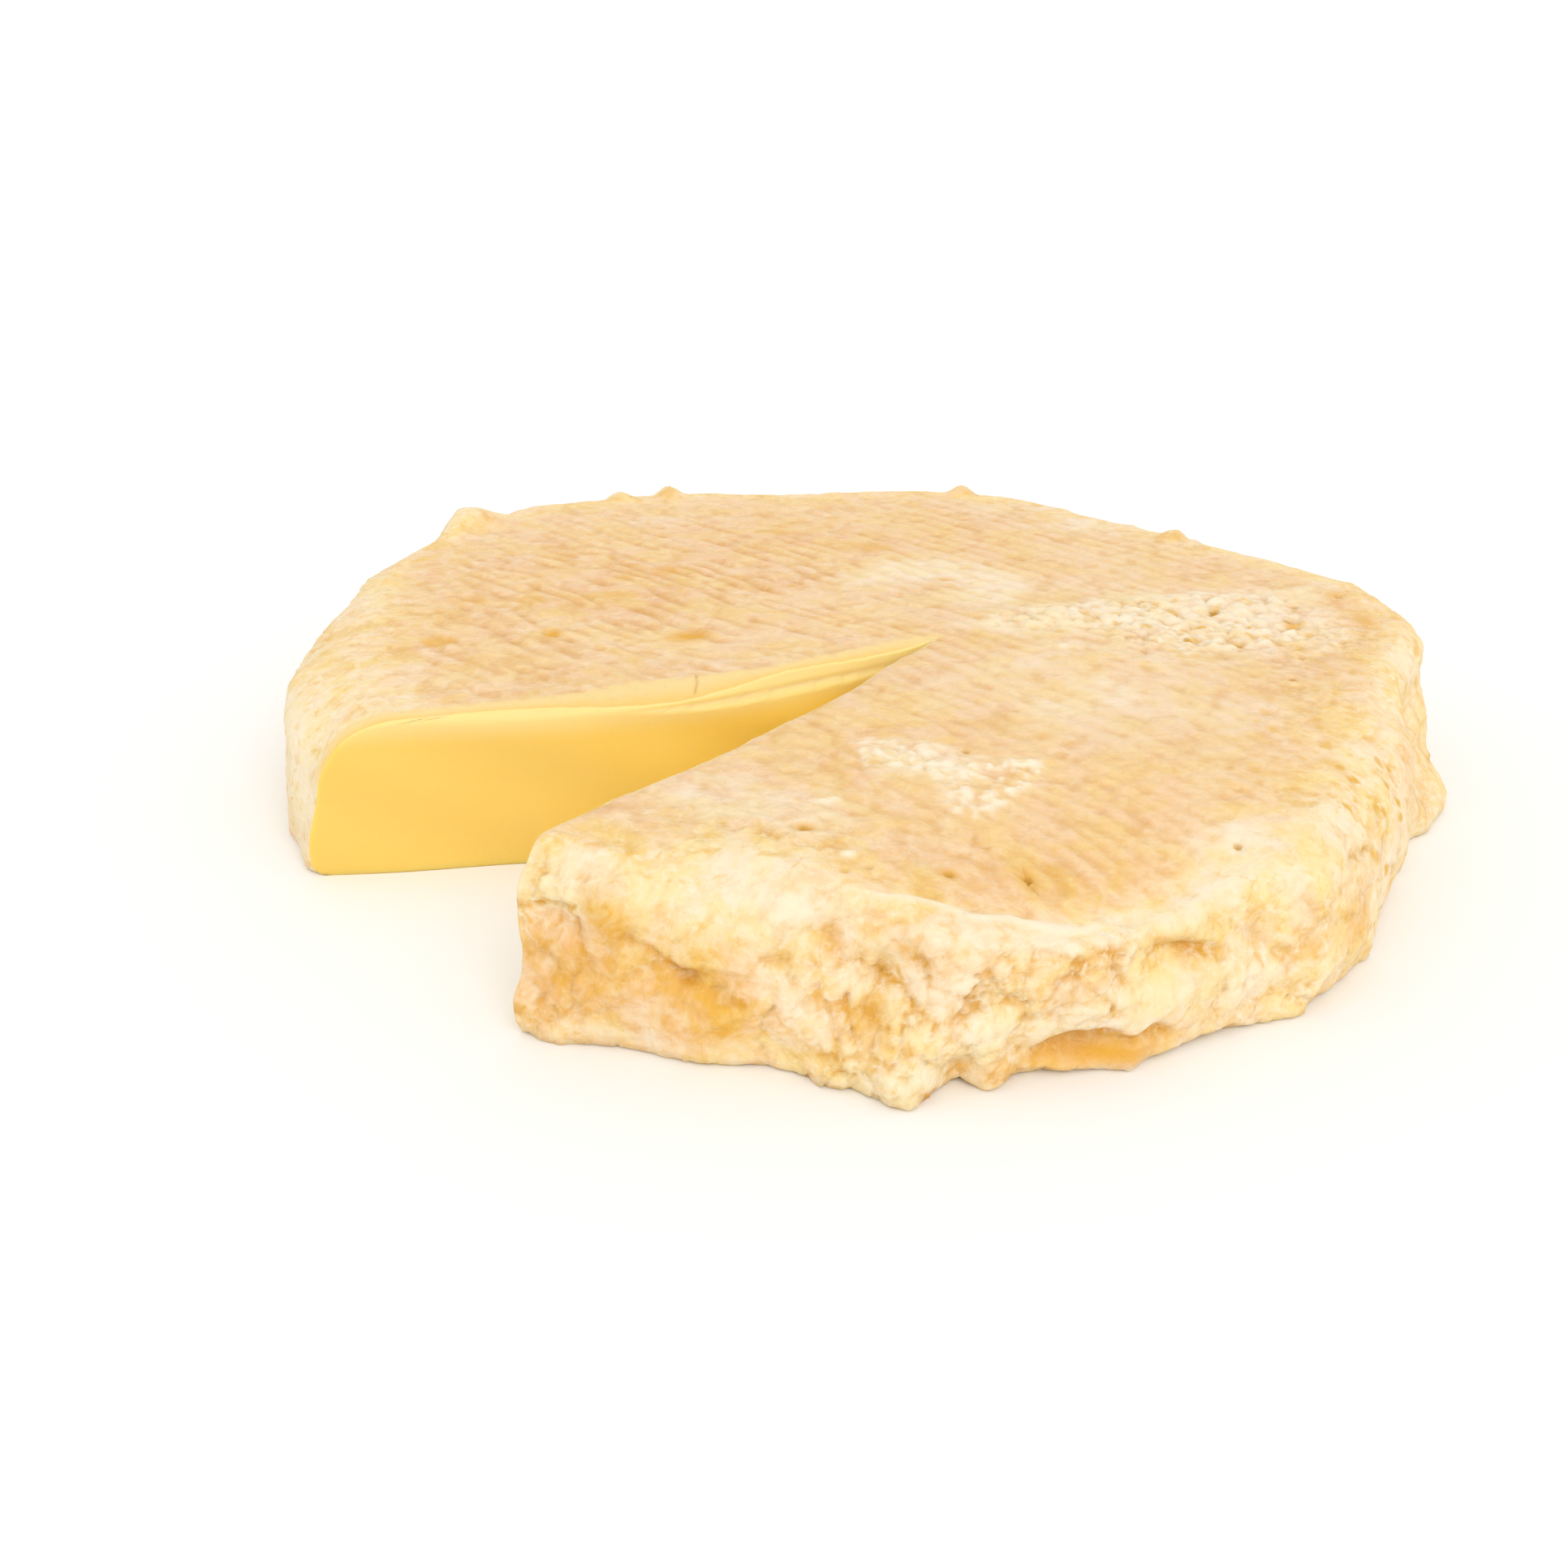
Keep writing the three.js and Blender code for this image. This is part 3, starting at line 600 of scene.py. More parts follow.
def beyond_face(cut, x, y, height):
    """How far places lie inside the gap from one cut face, and their distance along the cut,
    which is found by stepping along the path's tangent until the place lies square to it."""
    (path_along, path_x, path_y, path_turn), side, form_share = CUTS[cut]
    heading = path_turn[0]
    along = (x - CUT_POINT[0]) * np.cos(heading) + (y - CUT_POINT[1]) * np.sin(heading)
    for _ in range(6):
        turn = np.interp(along, path_along, path_turn)
        dx, dy = x - np.interp(along, path_along, path_x), y - np.interp(along, path_along, path_y)
        along = along + dx * np.cos(turn) + dy * np.sin(turn)
    dx, dy = x - np.interp(along, path_along, path_x), y - np.interp(along, path_along, path_y)
    aside = side * (dy * np.cos(turn) - dx * np.sin(turn))
    return aside - face_offset(along, height, form_share), along


def into_gap(x, y, height):
    """The smaller of the two distances beyond the cut faces: above 0 in the gap."""
    return np.minimum(beyond_face("far", x, y, height)[0], beyond_face("near", x, y, height)[0])


def lip(x, y, height):
    """The shares 1 - distance / width on the far lip and on the near one, and the far lip's
    width. Each is 1 at its cut face and 0 beyond the lip, and the nearer face decides."""
    far, along = beyond_face("far", x, y, height)
    near, _ = beyond_face("near", x, y, height)
    fade = smoothstep(along, *LIP_STARTS_OVER)
    width = LIP_WIDTH + sum(more * swell(along - at, half) for at, half, more in LIP_WIDTHS)
    far_share = np.clip(1 + np.minimum(far, 0) / width, 0, 1) * (near > far) * fade
    near_share = np.clip(1 + np.minimum(near, 0) / NEAR_LIP_WIDTH, 0, 1) * (near <= far) * fade
    return far_share, near_share, width


def lip_droop(x, y, height):
    """How far the rind sags at the cuts: slope * width * share^2 on each lip."""
    far_share, near_share, width = lip(x, y, height)
    droop = LIP_SLOPE * (width * far_share**2 + NEAR_LIP_WIDTH * near_share**2)
    return droop * smoothstep(height, *LIP_FADES_OVER)


# ---------------- relief of the rind

def side_relief(angle, place):
    """How far the skin of the side stands out, and how deep its fine hollows are from 0 to 1.
    The solid's lumps, crags, swellings and dents, then craggy * (flakes and crumbs, each depth *
    (level - distance + slant), less the seams), then the creases, broken up by noise."""
    height = place[..., 2]
    form = LUMP_DEPTH * lumps(place, LUMP_SIZE) + CRAG_DEPTH * noise(place, CRAG_SIZE)
    form = form * (1 + around(angle, LUMPS_FADES))
    form = form + on_side(angle, height, SIDE_LUMPS) - on_side(angle, height, SIDE_DENTS)
    bent = warped(place, *SIDE_WARP)
    flake, seam, slant = flakes(bent, CRUST_SIZE)
    crumb, crumb_seam, crumb_slant = flakes(bent, CRUMB_SIZE)
    craggy = USUAL_CRAGGINESS + around(angle, CRAGGINESS)
    craggy = craggy * (0.75 + 0.45 * noise(place, CRAGGINESS_PATCH))
    craggy = craggy * np.clip(1 - on_side(angle, height, SIDE_SMOOTH), 0, 1)
    seam_share = 1 - smoothstep(seam, 0, SEAM_WIDTH)
    fine = CRUST_DEPTH * (FLAKE_LEVEL - flake + slant)
    fine = fine + CRUMB_DEPTH * (FLAKE_LEVEL - crumb + crumb_slant) - SEAM_DEPTH * seam_share
    waver = [sum(ripple(place + offset, *wave) for wave in CREASE_WAVERS) for offset in (3.7, 61.3)]
    crease = side_lines(angle, height, SIDE_CREASES, waver) * (0.7 + 0.5 * noise(place, CREASE_BREAKS))
    hollow = 0.6 * smoothstep(flake - 0.5 * slant, 0.4, 0.8) + 0.35 * seam_share
    hollow = hollow + 0.35 * smoothstep(crumb, 0.45, 0.8) + 0.25 * (1 - smoothstep(crumb_seam, 0, 0.2))
    cut_in = crease + side_lines(angle, height, SIDE_CRACKS)
    return form + craggy * fine - cut_in, np.clip(craggy * hollow + crease, 0, 1)


def side_lines(angle, height, lines, waver=(0.0, 0.0)):
    """The sum of depth * nearness to each line of the side, on places shifted by the waver."""
    arc = np.radians(turn_from(0, angle)) * RIM_RADIUS
    total = 0.0
    for half_width, depth, places in lines:
        line = [(radians(at) * RIM_RADIUS, level) for at, level in places]
        total = total + depth * near_line(arc + waver[0], height + waver[1], half_width, line)
    return total


def round_holes(x, y, holes):
    """The sum of depth * swell(distance, 1.3 radius)."""
    return sum(
        depth * swell(np.hypot(x - at_x, y - at_y), 1.3 * radius) for at_x, at_y, radius, depth in holes
    )


def top_holes(x, y):
    """How deep the pinholes and cracks of the top are: the sum of depth * nearness to each."""
    lines = (depth * near_line(x, y, half_width, places) for half_width, depth, places in TOP_CRACKS)
    return round_holes(x, y, PINHOLES) + sum(lines)


def crease_share(x, y):
    """swell(distance across the crease line, half width) * smoothstep(share along it)."""
    (from_x, from_y), (to_x, to_y) = CREASE_FROM, CREASE_TO
    line_x, line_y = to_x - from_x, to_y - from_y
    length = np.hypot(line_x, line_y)
    along = ((x - from_x) * line_x + (y - from_y) * line_y) / length**2
    across = ((x - from_x) * line_y - (y - from_y) * line_x) / length
    return swell(across, CREASE_HALF_WIDTH) * smoothstep(along, *CREASE_RISES_OVER)


def from_rim(x, y):
    """How far a place lies inside the top's edge: top edge radius - radius."""
    return top_edge_radius(np.degrees(np.arctan2(y, x))) - np.hypot(x, y)


def mat_mark(x, y):
    """(0.5 - 0.5 cos(2 pi n / pitch))^sharpness, with n the place along the lines' normal, which
    is 1 in a groove, and how firmly it is pressed in. The places are first turned about the front
    edge and shifted by noises, and a noise drawn out along the lines breaks them into dashes."""
    flat = np.stack([x, y, 0 * x], -1)
    at_x, at_y = MAT_TURN_PLACE
    turn = np.radians(MAT_TURN) * swell(np.hypot(x - at_x, y - at_y), MAT_TURN_REACH)
    turned_x = at_x + (x - at_x) * np.cos(turn) - (y - at_y) * np.sin(turn)
    turned_y = at_y + (x - at_x) * np.sin(turn) + (y - at_y) * np.cos(turn)
    heading = radians(MAT_HEADING)
    across = turned_x * np.sin(heading) - turned_y * np.cos(heading)
    calm = smoothstep(x, *MAT_CALM_FROM)
    for size, calm_reach, reach in MAT_WOBBLES:
        across = across + mix(reach, calm_reach, calm) * noise(flat, size)
    along = turned_x * np.cos(heading) + turned_y * np.sin(heading)
    dash, thread = MAT_DASH
    breaks = noise(np.stack([along / dash, across / thread, 0 * x], -1), 1.0)
    breaks = breaks + ripple(flat, *MAT_GAPS)
    breaks = mix(breaks, 0.4 + 0.5 * breaks, calm)
    pressed = np.clip(MAT_SHARE + on_top(x, y, MAT_PATCHES), 0, 1) * smoothstep(breaks, *MAT_BREAKS)
    pressed = pressed * smoothstep(from_rim(x, y), *MAT_FADE_FROM_RIM)
    return (0.5 - 0.5 * np.cos(2 * np.pi * across / MAT_PITCH)) ** MAT_SHARPNESS, pressed


def tufts(place):
    """Share of a tuft: ragged clumps, the middles of small bent flakes, over its patches."""
    clump, _, _ = flakes(warped(place, *TUFT_WARP), TUFT_SIZE)
    ragged = clump + ripple(place + 31.7, *TUFT_RAGGED)
    patch = on_top(place[..., 0], place[..., 1], TUFT_PATCHES) + ripple(place, *TUFT_LOOSE)
    return smoothstep(patch, 0.15, 0.6) * (1 - smoothstep(ragged, 0.25, 0.65))


def ridge_share(x, y):
    """How near a place is to the crest of the front ridge, from 0 to 1, with a slow waver."""
    half_width, _, places = FRONT_RIDGE
    flat = np.stack([x, y, 0 * x], -1)
    waver = ripple(flat, *RIDGE_WAVER)
    fade = smoothstep(x, *RIDGE_FADES[:2]) * (1 - smoothstep(x, *RIDGE_FADES[2:]))
    return fade * near_line(x + waver, y + waver, half_width * (1 + ripple(flat, *RIDGE_SWELLS)), places)


def rough_top(place):
    """How rough the top is, from 0 to 1: smoothstep(patches + crease + noise)."""
    x, y = place[..., 0], place[..., 1]
    rough = on_top(x, y, ROUGH_PATCHES) + ROUGH_CREASE * crease_share(x, y) + ripple(place, *ROUGH_LOOSE)
    return smoothstep(rough, 0.1, 0.9)


def top_relief(place):
    """How far the skin of the top stands up, and how deep its fine hollows are from 0 to 1.
    The solid's waves and crease, then the mat's grooves, pocks, rough patches of flakes, tufts,
    the front ridge, pinholes and cracks."""
    x, y = place[..., 0], place[..., 1]
    crease = crease_share(x, y)
    form = TOP_WAVE_DEPTH * noise(place, TOP_WAVE_SIZE)
    form = form + crease * CREASE_HEIGHT * (1 + noise(place, CREASE_BUMP_SIZE))
    bent = warped(place, *TOP_WARP)
    rough_share = rough_top(place)
    groove, pressed = mat_mark(x, y)
    pressed = pressed * np.clip(1 - 1.3 * rough_share, 0, 1)
    pock = noise(bent, POCK_SIZE)
    rough, seam, slant = flakes(bent, ROUGH_SIZE)
    seam_share = 1 - smoothstep(seam, 0, SEAM_WIDTH)
    fine = POCK_DEPTH * pock - MAT_DEPTH * pressed * (groove - MAT_LEVEL)
    coarse = ROUGH_DEPTH * (FLAKE_LEVEL - rough + 0.6 * slant) - ROUGH_SEAM_DEPTH * seam_share
    fine = fine + rough_share * coarse
    tuft, holes = tufts(place), top_holes(x, y)
    ridge = ridge_share(x, y)
    hollow = 0.8 * pressed * groove
    hollow = hollow + rough_share * (0.6 * smoothstep(rough - 0.5 * slant, 0.45, 0.8) + 0.25 * seam_share)
    hollow = (hollow + 0.35 * smoothstep(-pock, 0.15, 0.6)) * (1 - 0.7 * ridge) * (1 - tuft)
    raised = TUFT_HEIGHT * tuft + FRONT_RIDGE[1] * ridge - holes - round_holes(x, y, DIMPLES)
    return form + fine * (1 - 0.6 * ridge) + raised, np.clip(hollow + 0.6 * np.minimum(holes, 1), 0, 1)


def flake_relief(angle, height, from_edge):
    """swell(from edge - 3, 8) * smoothstep(height) * the flakes round the rim."""
    near = swell(from_edge - FLAKE_MIDDLE, FLAKE_REACH) * smoothstep(height, *FLAKE_FOOT)
    return near * around(angle, RIM_FLAKES)


# ---------------- places on the wheel

def wheel_point(angle, level):
    """A place on the side and its fine hollow: the section's point, pushed out by the relief
    along (cos slope, sin slope) of radius and height, with the lip's droop taken off."""
    angle, level = np.broadcast_arrays(np.asarray(angle, float), np.asarray(level, float))
    radius, height, slope = section_point(angle, level)
    cos, sin = np.cos(np.radians(angle)), np.sin(np.radians(angle))
    place = np.stack([radius * cos, radius * sin, height], -1)
    share = smoothstep(slope, *TOP_SKIN_SLOPES)
    (side, side_hollow), (top, top_hollow) = side_relief(angle, place), top_relief(place)
    from_edge = radius - top_edge_radius(angle)
    out = mix(side, top, share) + flake_relief(angle, height, from_edge)
    underside = level == 0
    reach = radius + out * np.where(underside, 1.0, np.cos(np.radians(slope)))
    top_level = np.maximum(height + out * np.sin(np.radians(slope)), 0.0)
    x, y, z = reach * cos, reach * sin, np.where(underside, 0.0, top_level)
    z = np.where(underside, 0.0, z - lip_droop(x, y, z))
    return np.stack([x, y, z], -1), mix(side_hollow, top_hollow, share)


def top_point(x, y):
    """A place on the top and its fine hollow: z = thickness + (edge - thickness) share^3.2 +
    relief + flakes - droop, with share the radius over the top edge's."""
    angle = np.degrees(np.arctan2(y, x))
    radius = np.hypot(x, y)
    edge_radius = top_edge_radius(angle)
    edge = section_at(angle)[1]
    height = THICKNESS + (edge - THICKNESS) * np.minimum(radius / edge_radius, 1) ** SAG_POWER
    relief, hollow = top_relief(np.stack([x, y, height], -1))
    z = height + relief + flake_relief(angle, height, radius - edge_radius)
    return np.stack([x, y, z - lip_droop(x, y, z)], -1), hollow


# ---------------- the mesh

def shares(length, step, fine):
    """Marks from 0 to 1 along a length: a step apart, with finer ones at the chosen ends."""
    start, end = fine
    low = [mark for mark in CORNER_STEPS if start]
    high = [length - mark for mark in reversed(CORNER_STEPS) if end]
    first, last = (low or [0.0])[-1], (high or [length])[0]
    count = max(int(round((last - first) / step)), 1)
    middle = np.linspace(first, last, count + 1)
    marks = np.concatenate([[0.0], low[:-1], middle, high[1:], [length]])
    return np.unique(np.round(marks / length, 9))


def level_rows():
    """The levels of the side's rows, from the underside up to the top's edge."""
    foot = np.arange(FOOT_ROWS) / FOOT_ROWS
    side = 1 + np.arange(SIDE_ROWS) / SIDE_ROWS
    shoulder = 2 + np.arange(SHOULDER_ROWS + 1) / SHOULDER_ROWS
    return np.concatenate([foot, side, shoulder])


def cut_angle(span, levels):
    """The angle at which each row of the side meets the cut, found by halving the span."""
    low, high = (np.full(len(levels), float(end)) for end in span)
    for _ in range(HALVINGS):
        middle = (low + high) / 2
        place = wheel_point(middle, levels)[0]
        in_gap = into_gap(*np.moveaxis(place, -1, 0)) > 0
        low, high = np.where(in_gap, low, middle), np.where(in_gap, middle, high)
    return (low + high) / 2


def side_grid(levels):
    """Rows of places from the near cut round to the far one: (rows, columns, 3). The columns
    stand closer round the craggy front: equal marks on the sum of 1 / (1 + coarser share)."""
    near_angle, far_angle = (cut_angle(span, levels) for span in (NEAR_CUT_SPAN, FAR_CUT_SPAN))
    angle = np.linspace(near_angle.mean(), far_angle.mean(), 2000)
    from_front = np.abs(turn_from(FRONT_ANGLE, angle))
    marks = np.cumsum(1 / (1 + BACK_COARSER * smoothstep(from_front, *FRONT_REACH)))
    marks = marks - marks[0]
    length = np.radians(angle[1] - angle[0]) * RIM_RADIUS * marks[-1]
    share = shares(length, SIDE_STEP, (True, True))
    share = np.interp(share, marks / marks[-1], np.linspace(0, 1, len(marks)))
    return wheel_point(mix(near_angle[:, None], far_angle[:, None], share[None, :]), levels[:, None])


def face_grid(cut, levels, corner):
    """Places on a cut face between the point of the cut and the side's corner column, without
    the corner itself: along = share * the corner's, z = the top's height there * the row's
    share of the height."""
    rows = section_point(np.full(len(levels), 180.0), levels)[1]
    plain_share = rows / rows[-1]
    corner_share = corner[:, 2] / corner[-1, 2]
    corner_along = beyond_face(cut, *corner.T)[1]
    share = shares(corner_along.mean(), FACE_STEP, (False, True))[:-1]
    top_x, top_y = face_point(cut, share * corner_along[-1], THICKNESS)
    for _ in range(2):
        top_z = top_point(top_x, top_y)[0][:, 2]
        top_x, top_y = face_point(cut, share * corner_along[-1], top_z)
    at_corner = smoothstep(share, *CORNER_ROWS_FROM)
    row_share = mix(plain_share[:, None], corner_share[:, None], at_corner[None, :])
    height = row_share * top_z[None, :]
    x, y = face_point(cut, share[None, :] * corner_along[:, None], height)
    return np.stack([x, y, height], -1)


def places_at_holes():
    """Places in each pinhole of the top, on two rings round its middle, and along each crack, in
    rows at five distances across it."""
    rows = []
    for x, y, radius, _ in PINHOLES:
        for ring, count in HOLE_RINGS:
            turn = np.arange(count) * 2 * np.pi / count
            rows.append(np.stack([x + ring * radius * np.cos(turn), y + ring * radius * np.sin(turn)], -1))
    for half_width, _, places in TOP_CRACKS:
        across = half_width * np.array(CRACK_ROWS)
        for (x0, y0), (x1, y1) in zip(places, places[1:]):
            length = np.hypot(x1 - x0, y1 - y0)
            share = np.arange(0.0, length, CRACK_STEP)[:, None] / length
            x = x0 + (x1 - x0) * share - (y1 - y0) / length * across
            y = y0 + (y1 - y0) * share + (x1 - x0) / length * across
            rows.append(np.stack([x.ravel(), y.ravel()], -1))
    return np.concatenate(rows)


def lattice_inside():
    """Places of a lattice along the mat's lines that lie inside the top's edge and clear of the
    cut, with closer places at each pinhole and crack."""
    steps = [np.arange(-LATTICE_REACH, LATTICE_REACH, step) for step in (LATTICE_ACROSS, LATTICE_ALONG)]
    u, v = np.meshgrid(*steps, indexing="ij")
    v = v + LATTICE_ALONG / 2 * (np.arange(len(u)) % 2)[:, None]
    heading = radians(MAT_HEADING)
    x = (u * np.sin(heading) + v * np.cos(heading)).ravel()
    y = (v * np.sin(heading) - u * np.cos(heading)).ravel()
    taken = sum(near_line(x, y, half_width + LATTICE_GAP, places) for half_width, _, places in TOP_CRACKS)
    widest = HOLE_RINGS[-1][0]
    for at_x, at_y, radius, _ in PINHOLES:
        taken = taken + (np.hypot(x - at_x, y - at_y) < widest * radius + LATTICE_GAP)
    places = np.concatenate([np.stack([x, y], -1)[taken == 0], places_at_holes()])
    x, y = places[from_rim(*places.T) > LATTICE_GAP].T
    z = top_point(x, y)[0][:, 2]
    clear = into_gap(x, y, z) < -LATTICE_GAP
    return np.stack([x, y], -1)[clear]


def triangulate(outline, inner):
    """Triangles over a closed outline and the places inside it, as rows of numbers into the
    outline's places followed by the inner ones, anticlockwise seen from above."""
    places = np.concatenate([outline, inner])
    ring = np.arange(len(outline))
    edges = np.stack([ring, np.roll(ring, -1)], -1)
    made = delaunay_2d_cdt(places.tolist(), edges.tolist(), [], 1, 1e-5)
    source = np.array([ids[0] for ids in made[3]])
    return source[np.array(made[2])]


def grid_triangles(numbers):
    """Two triangles for each cell of a grid of vertex numbers, anticlockwise where columns run
    to the right and rows run up."""
    a, b = numbers[:-1, :-1], numbers[:-1, 1:]
    c, d = numbers[1:, 1:], numbers[1:, :-1]
    return np.concatenate([np.stack([a, b, c], -1).reshape(-1, 3), np.stack([a, c, d], -1).reshape(-1, 3)])


def neighbour_mean(values, edges):
    """The mean over the neighbours of each vertex: sum of values / count."""
    ends = np.concatenate([edges, edges[:, ::-1]])
    count = np.bincount(ends[:, 0], minlength=len(values))
    columns = [np.bincount(ends[:, 0], column[ends[:, 1]], len(values)) for column in values.T]
    return np.stack(columns, -1) / count[:, None]


def round_corners(places, triangles, sharp):
    """Moves the vertices near the sharp lines toward the mean of their neighbours, in a few
    rounds: p = p + share (mean - p), where the share spreads two steps from the line."""
    edges = np.concatenate([triangles[:, [0, 1]], triangles[:, [1, 2]], triangles[:, [2, 0]]])
    edges = edges[edges[:, 0] < edges[:, 1]]
    share = np.zeros((len(places), 1))
    share[sharp] = 1
    for _ in range(2):
        share = np.maximum(share, np.minimum(CORNER_SPREAD * neighbour_mean(share, edges), 1))
    for _ in range(CORNER_ROUNDS):
        places = places + CORNER_PULL * share * (neighbour_mean(places, edges) - places)
    return places


def cheese_mesh():
    """The whole skin in one closed mesh: places, triangles, fine hollows, and which triangles
    are paste. The side is a grid, each cut face is a grid that shares the side's end column and
    the cut's point, and the top and the underside are filled in over the rings that are left."""
    levels = level_rows()
    rows = len(levels)
    side, side_hollow = side_grid(levels)
    side_numbers = np.arange(side_hollow.size).reshape(rows, -1)
    ends = {"near": 0, "far": -1}
    faces = {cut: face_grid(cut, levels, side[:, end]) for cut, end in ends.items()}
    point_numbers = side_hollow.size + np.arange(rows)
    parts = [side.reshape(-1, 3), faces["near"][:, 0]]
    used = side_hollow.size + rows
    grids = {}
    for cut, end in ends.items():
        parts.append(faces[cut][:, 1:].reshape(-1, 3))
        numbers = used + np.arange(len(parts[-1])).reshape(rows, -1)
        used += numbers.size
        grids[cut] = np.column_stack([point_numbers, numbers, side_numbers[:, end]])
    places = np.concatenate(parts)

    def ring(row):
        """Round one row: the side, in along the far cut and out along the near one."""
        far, near = grids["far"][row], grids["near"][row]
        return np.concatenate([side_numbers[row], far[-2::-1], near[1:-1]])

    top_ring, under_ring = ring(-1), ring(0)
    inner = lattice_inside()
    inner_places, inner_hollow = top_point(inner[:, 0], inner[:, 1])
    numbers = np.concatenate([top_ring, used + np.arange(len(inner))])
    top = numbers[triangulate(places[top_ring][:, :2], inner)]
    places = np.concatenate([places, inner_places])
    hollow = np.concatenate([side_hollow.ravel(), np.zeros(used - side_hollow.size), inner_hollow])
    under = under_ring[triangulate(places[under_ring][:, :2], np.zeros((0, 2)))][:, ::-1]
    rind = np.concatenate([grid_triangles(side_numbers), top, under])
    paste = np.concatenate([grid_triangles(grids["near"]), grid_triangles(grids["far"][:, ::-1])])
    triangles = np.concatenate([rind, paste])
    is_paste = np.arange(len(triangles)) >= len(rind)
    sharp = np.concatenate([grids["near"][-1], grids["far"][-1], side_numbers[:, 0], side_numbers[:, -1]])
    rounded = round_corners(places, triangles, sharp)
    rounded[under_ring, 2] = 0
    return rounded, triangles, hollow, is_paste


# ---------------- tones of the skin and the paste

def rind_tones(places, hollow):
    """The shares, from 0 to 1, that colour the skin: its fine hollows, partly darker tan and partly
    painted shade, how mottled, how crusty, how pricked with fine pores and how tan it is, its bloom,
    white tufts, stains together with painted shade at the foot of the side, how golden it is,
    painted shade in the pinholes and cracks, its lip at the far cut and how far that lip is painted
    a deeper yellow as shade toward the cut face; and of the paste how deep a place lies, where it
    is painted gold as shade, and how far out along the cut, where it is duller."""
    x, y, z = places.T
    angle = np.degrees(np.arctan2(y, x))
    inset = from_rim(x, y)
    top = smoothstep(inset, -4, 5)
    edge_band = swell(inset + 1, 11)
    blotch, cloud = noise(places, BLOTCH_SIZE), noise(places, CLOUD_SIZE)
    mottled = 1 - CALM_MOTTLE * smoothstep(x, *MAT_CALM_FROM) * smoothstep(inset, 4, 20)
    mottle = noise(warped(places, *MOTTLE_WARP), MOTTLE_SIZE) * mottled
    speck = noise(warped(places, *SPECK_WARP), SPECK_SIZE) * mottled
    tan_top = TOP_TAN + on_top(x, y, TAN_PATCHES) + 0.16 * blotch + 0.2 * mottle + 0.14 * speck
    tan_top = tan_top - 0.1 * edge_band
    tan_side = SIDE_TAN + on_side(angle, z, SIDE_TANS) + 0.14 * blotch + 0.26 * mottle
    ridge = ridge_share(x, y) * smoothstep(z, 16, 20)
    bloom_top = on_top(x, y, BLOOM_PATCHES) + 0.3 * crease_share(x, y) + 0.2 * cloud + 0.3 * rough_top(places)
    bloom_top = bloom_top + RIGHT_BLOOM * smoothstep(x, -30, 50) * smoothstep(inset, 4, 22) + 0.1 * edge_band
    bloom_side = SIDE_BLOOM + on_side(angle, z, SIDE_BLOOMS) + 0.25 * cloud
    bloom = smoothstep(mix(bloom_side, bloom_top, top) + 0.3 * mottle + 0.16 * speck, 0.1, 0.95)
    stain = on_top(x, y, STAINS) * smoothstep(inset, -12, -2) * (0.9 + 0.6 * speck)
    # the foot patches of the side are painted shade, added in with the top's stains
    stain = stain + on_side(angle, z, FOOT_SHADE_PATCHES) * (1 - top)
    far_lip, _, _ = lip(x, y, z)
    golden = 1 - smoothstep(inset, -3, 10) + on_top(x, y, GOLD_PATCHES) + 0.3 * blotch
    # Painted shade: the pinholes and cracks are coloured dark as if shaded inside.
    pit = mix(side_lines(angle, z, SIDE_CRACKS), top_holes(x, y), top) * (0.8 + 0.5 * speck)
    crusty_side = 0.7 - 0.5 * np.clip(on_side(angle, z, SIDE_SMOOTH), 0, 1) + 0.3 * cloud
    crusty_top = 0.75 * rough_top(places) + 0.15 * (1 - smoothstep(inset, 4, 24))
    return {
        "hollow": hollow,
        "mottled": mottled,
        "crusty": mix(crusty_side, crusty_top, top),
        "pricked": on_top(x, y, PRICKED_PATCHES) + 0.3 * cloud,
        "tan": mix(tan_side, tan_top, top),
        "bloom": bloom * (1 - 0.8 * hollow) + 0.5 * ridge,
        "tuft": tufts(places) * top + 0.75 * ridge,
        "stain": stain,
        "golden": golden,
        "pit": smoothstep(pit, 0.1, 0.7),
        "lip": smoothstep(far_lip + 0.06 * mottle, 0.02, 0.2) * smoothstep(z, 14, 22),
        # painted shade: the far lip turns a deeper yellow toward the cut face, where it curls down
        "butter": smoothstep(far_lip, 0.45, 1.0),
        # painted shade: lower on the cut face the paste is coloured gold
        "deep": smoothstep(THICKNESS - z, 2.5, 7.5),
        "aired": smoothstep(np.hypot(x - CUT_POINT[0], y - CUT_POINT[1]), *PASTE_DULLER_FROM),
    }


def cheese_object():
    """The mesh as one Blender object in the part's frame, with the tones as attributes."""
    places, triangles, hollow, is_paste = cheese_mesh()
    tones = rind_tones(places, hollow)
    data = bpy.data.meshes.new("cheese")
    data.vertices.add(len(places))
    data.vertices.foreach_set("co", ((places + [*WHEEL_AXIS, 0]) / 1000).astype(np.float32).ravel())
    data.loops.add(triangles.size)
    data.loops.foreach_set("vertex_index", triangles.astype(np.int32).ravel())
    data.polygons.add(len(triangles))
    data.polygons.foreach_set("loop_start", np.arange(0, triangles.size, 3, dtype=np.int32))
    data.materials.append(washed_rind())
    data.materials.append(cut_paste())
    data.polygons.foreach_set("material_index", is_paste.astype(np.int32))
    data.polygons.foreach_set("use_smooth", np.ones(len(triangles), bool))
    data.update(calc_edges=True)
    for name, values in tones.items():
        attribute = data.attributes.new(name, "FLOAT", "POINT")
        attribute.data.foreach_set("value", np.clip(values, 0, 1).astype(np.float32))
    cheese = bpy.data.objects.new("cheese_rind_and_paste", data)
    bpy.context.scene.collection.objects.link(cheese)
    return cheese


# ---------------- materials

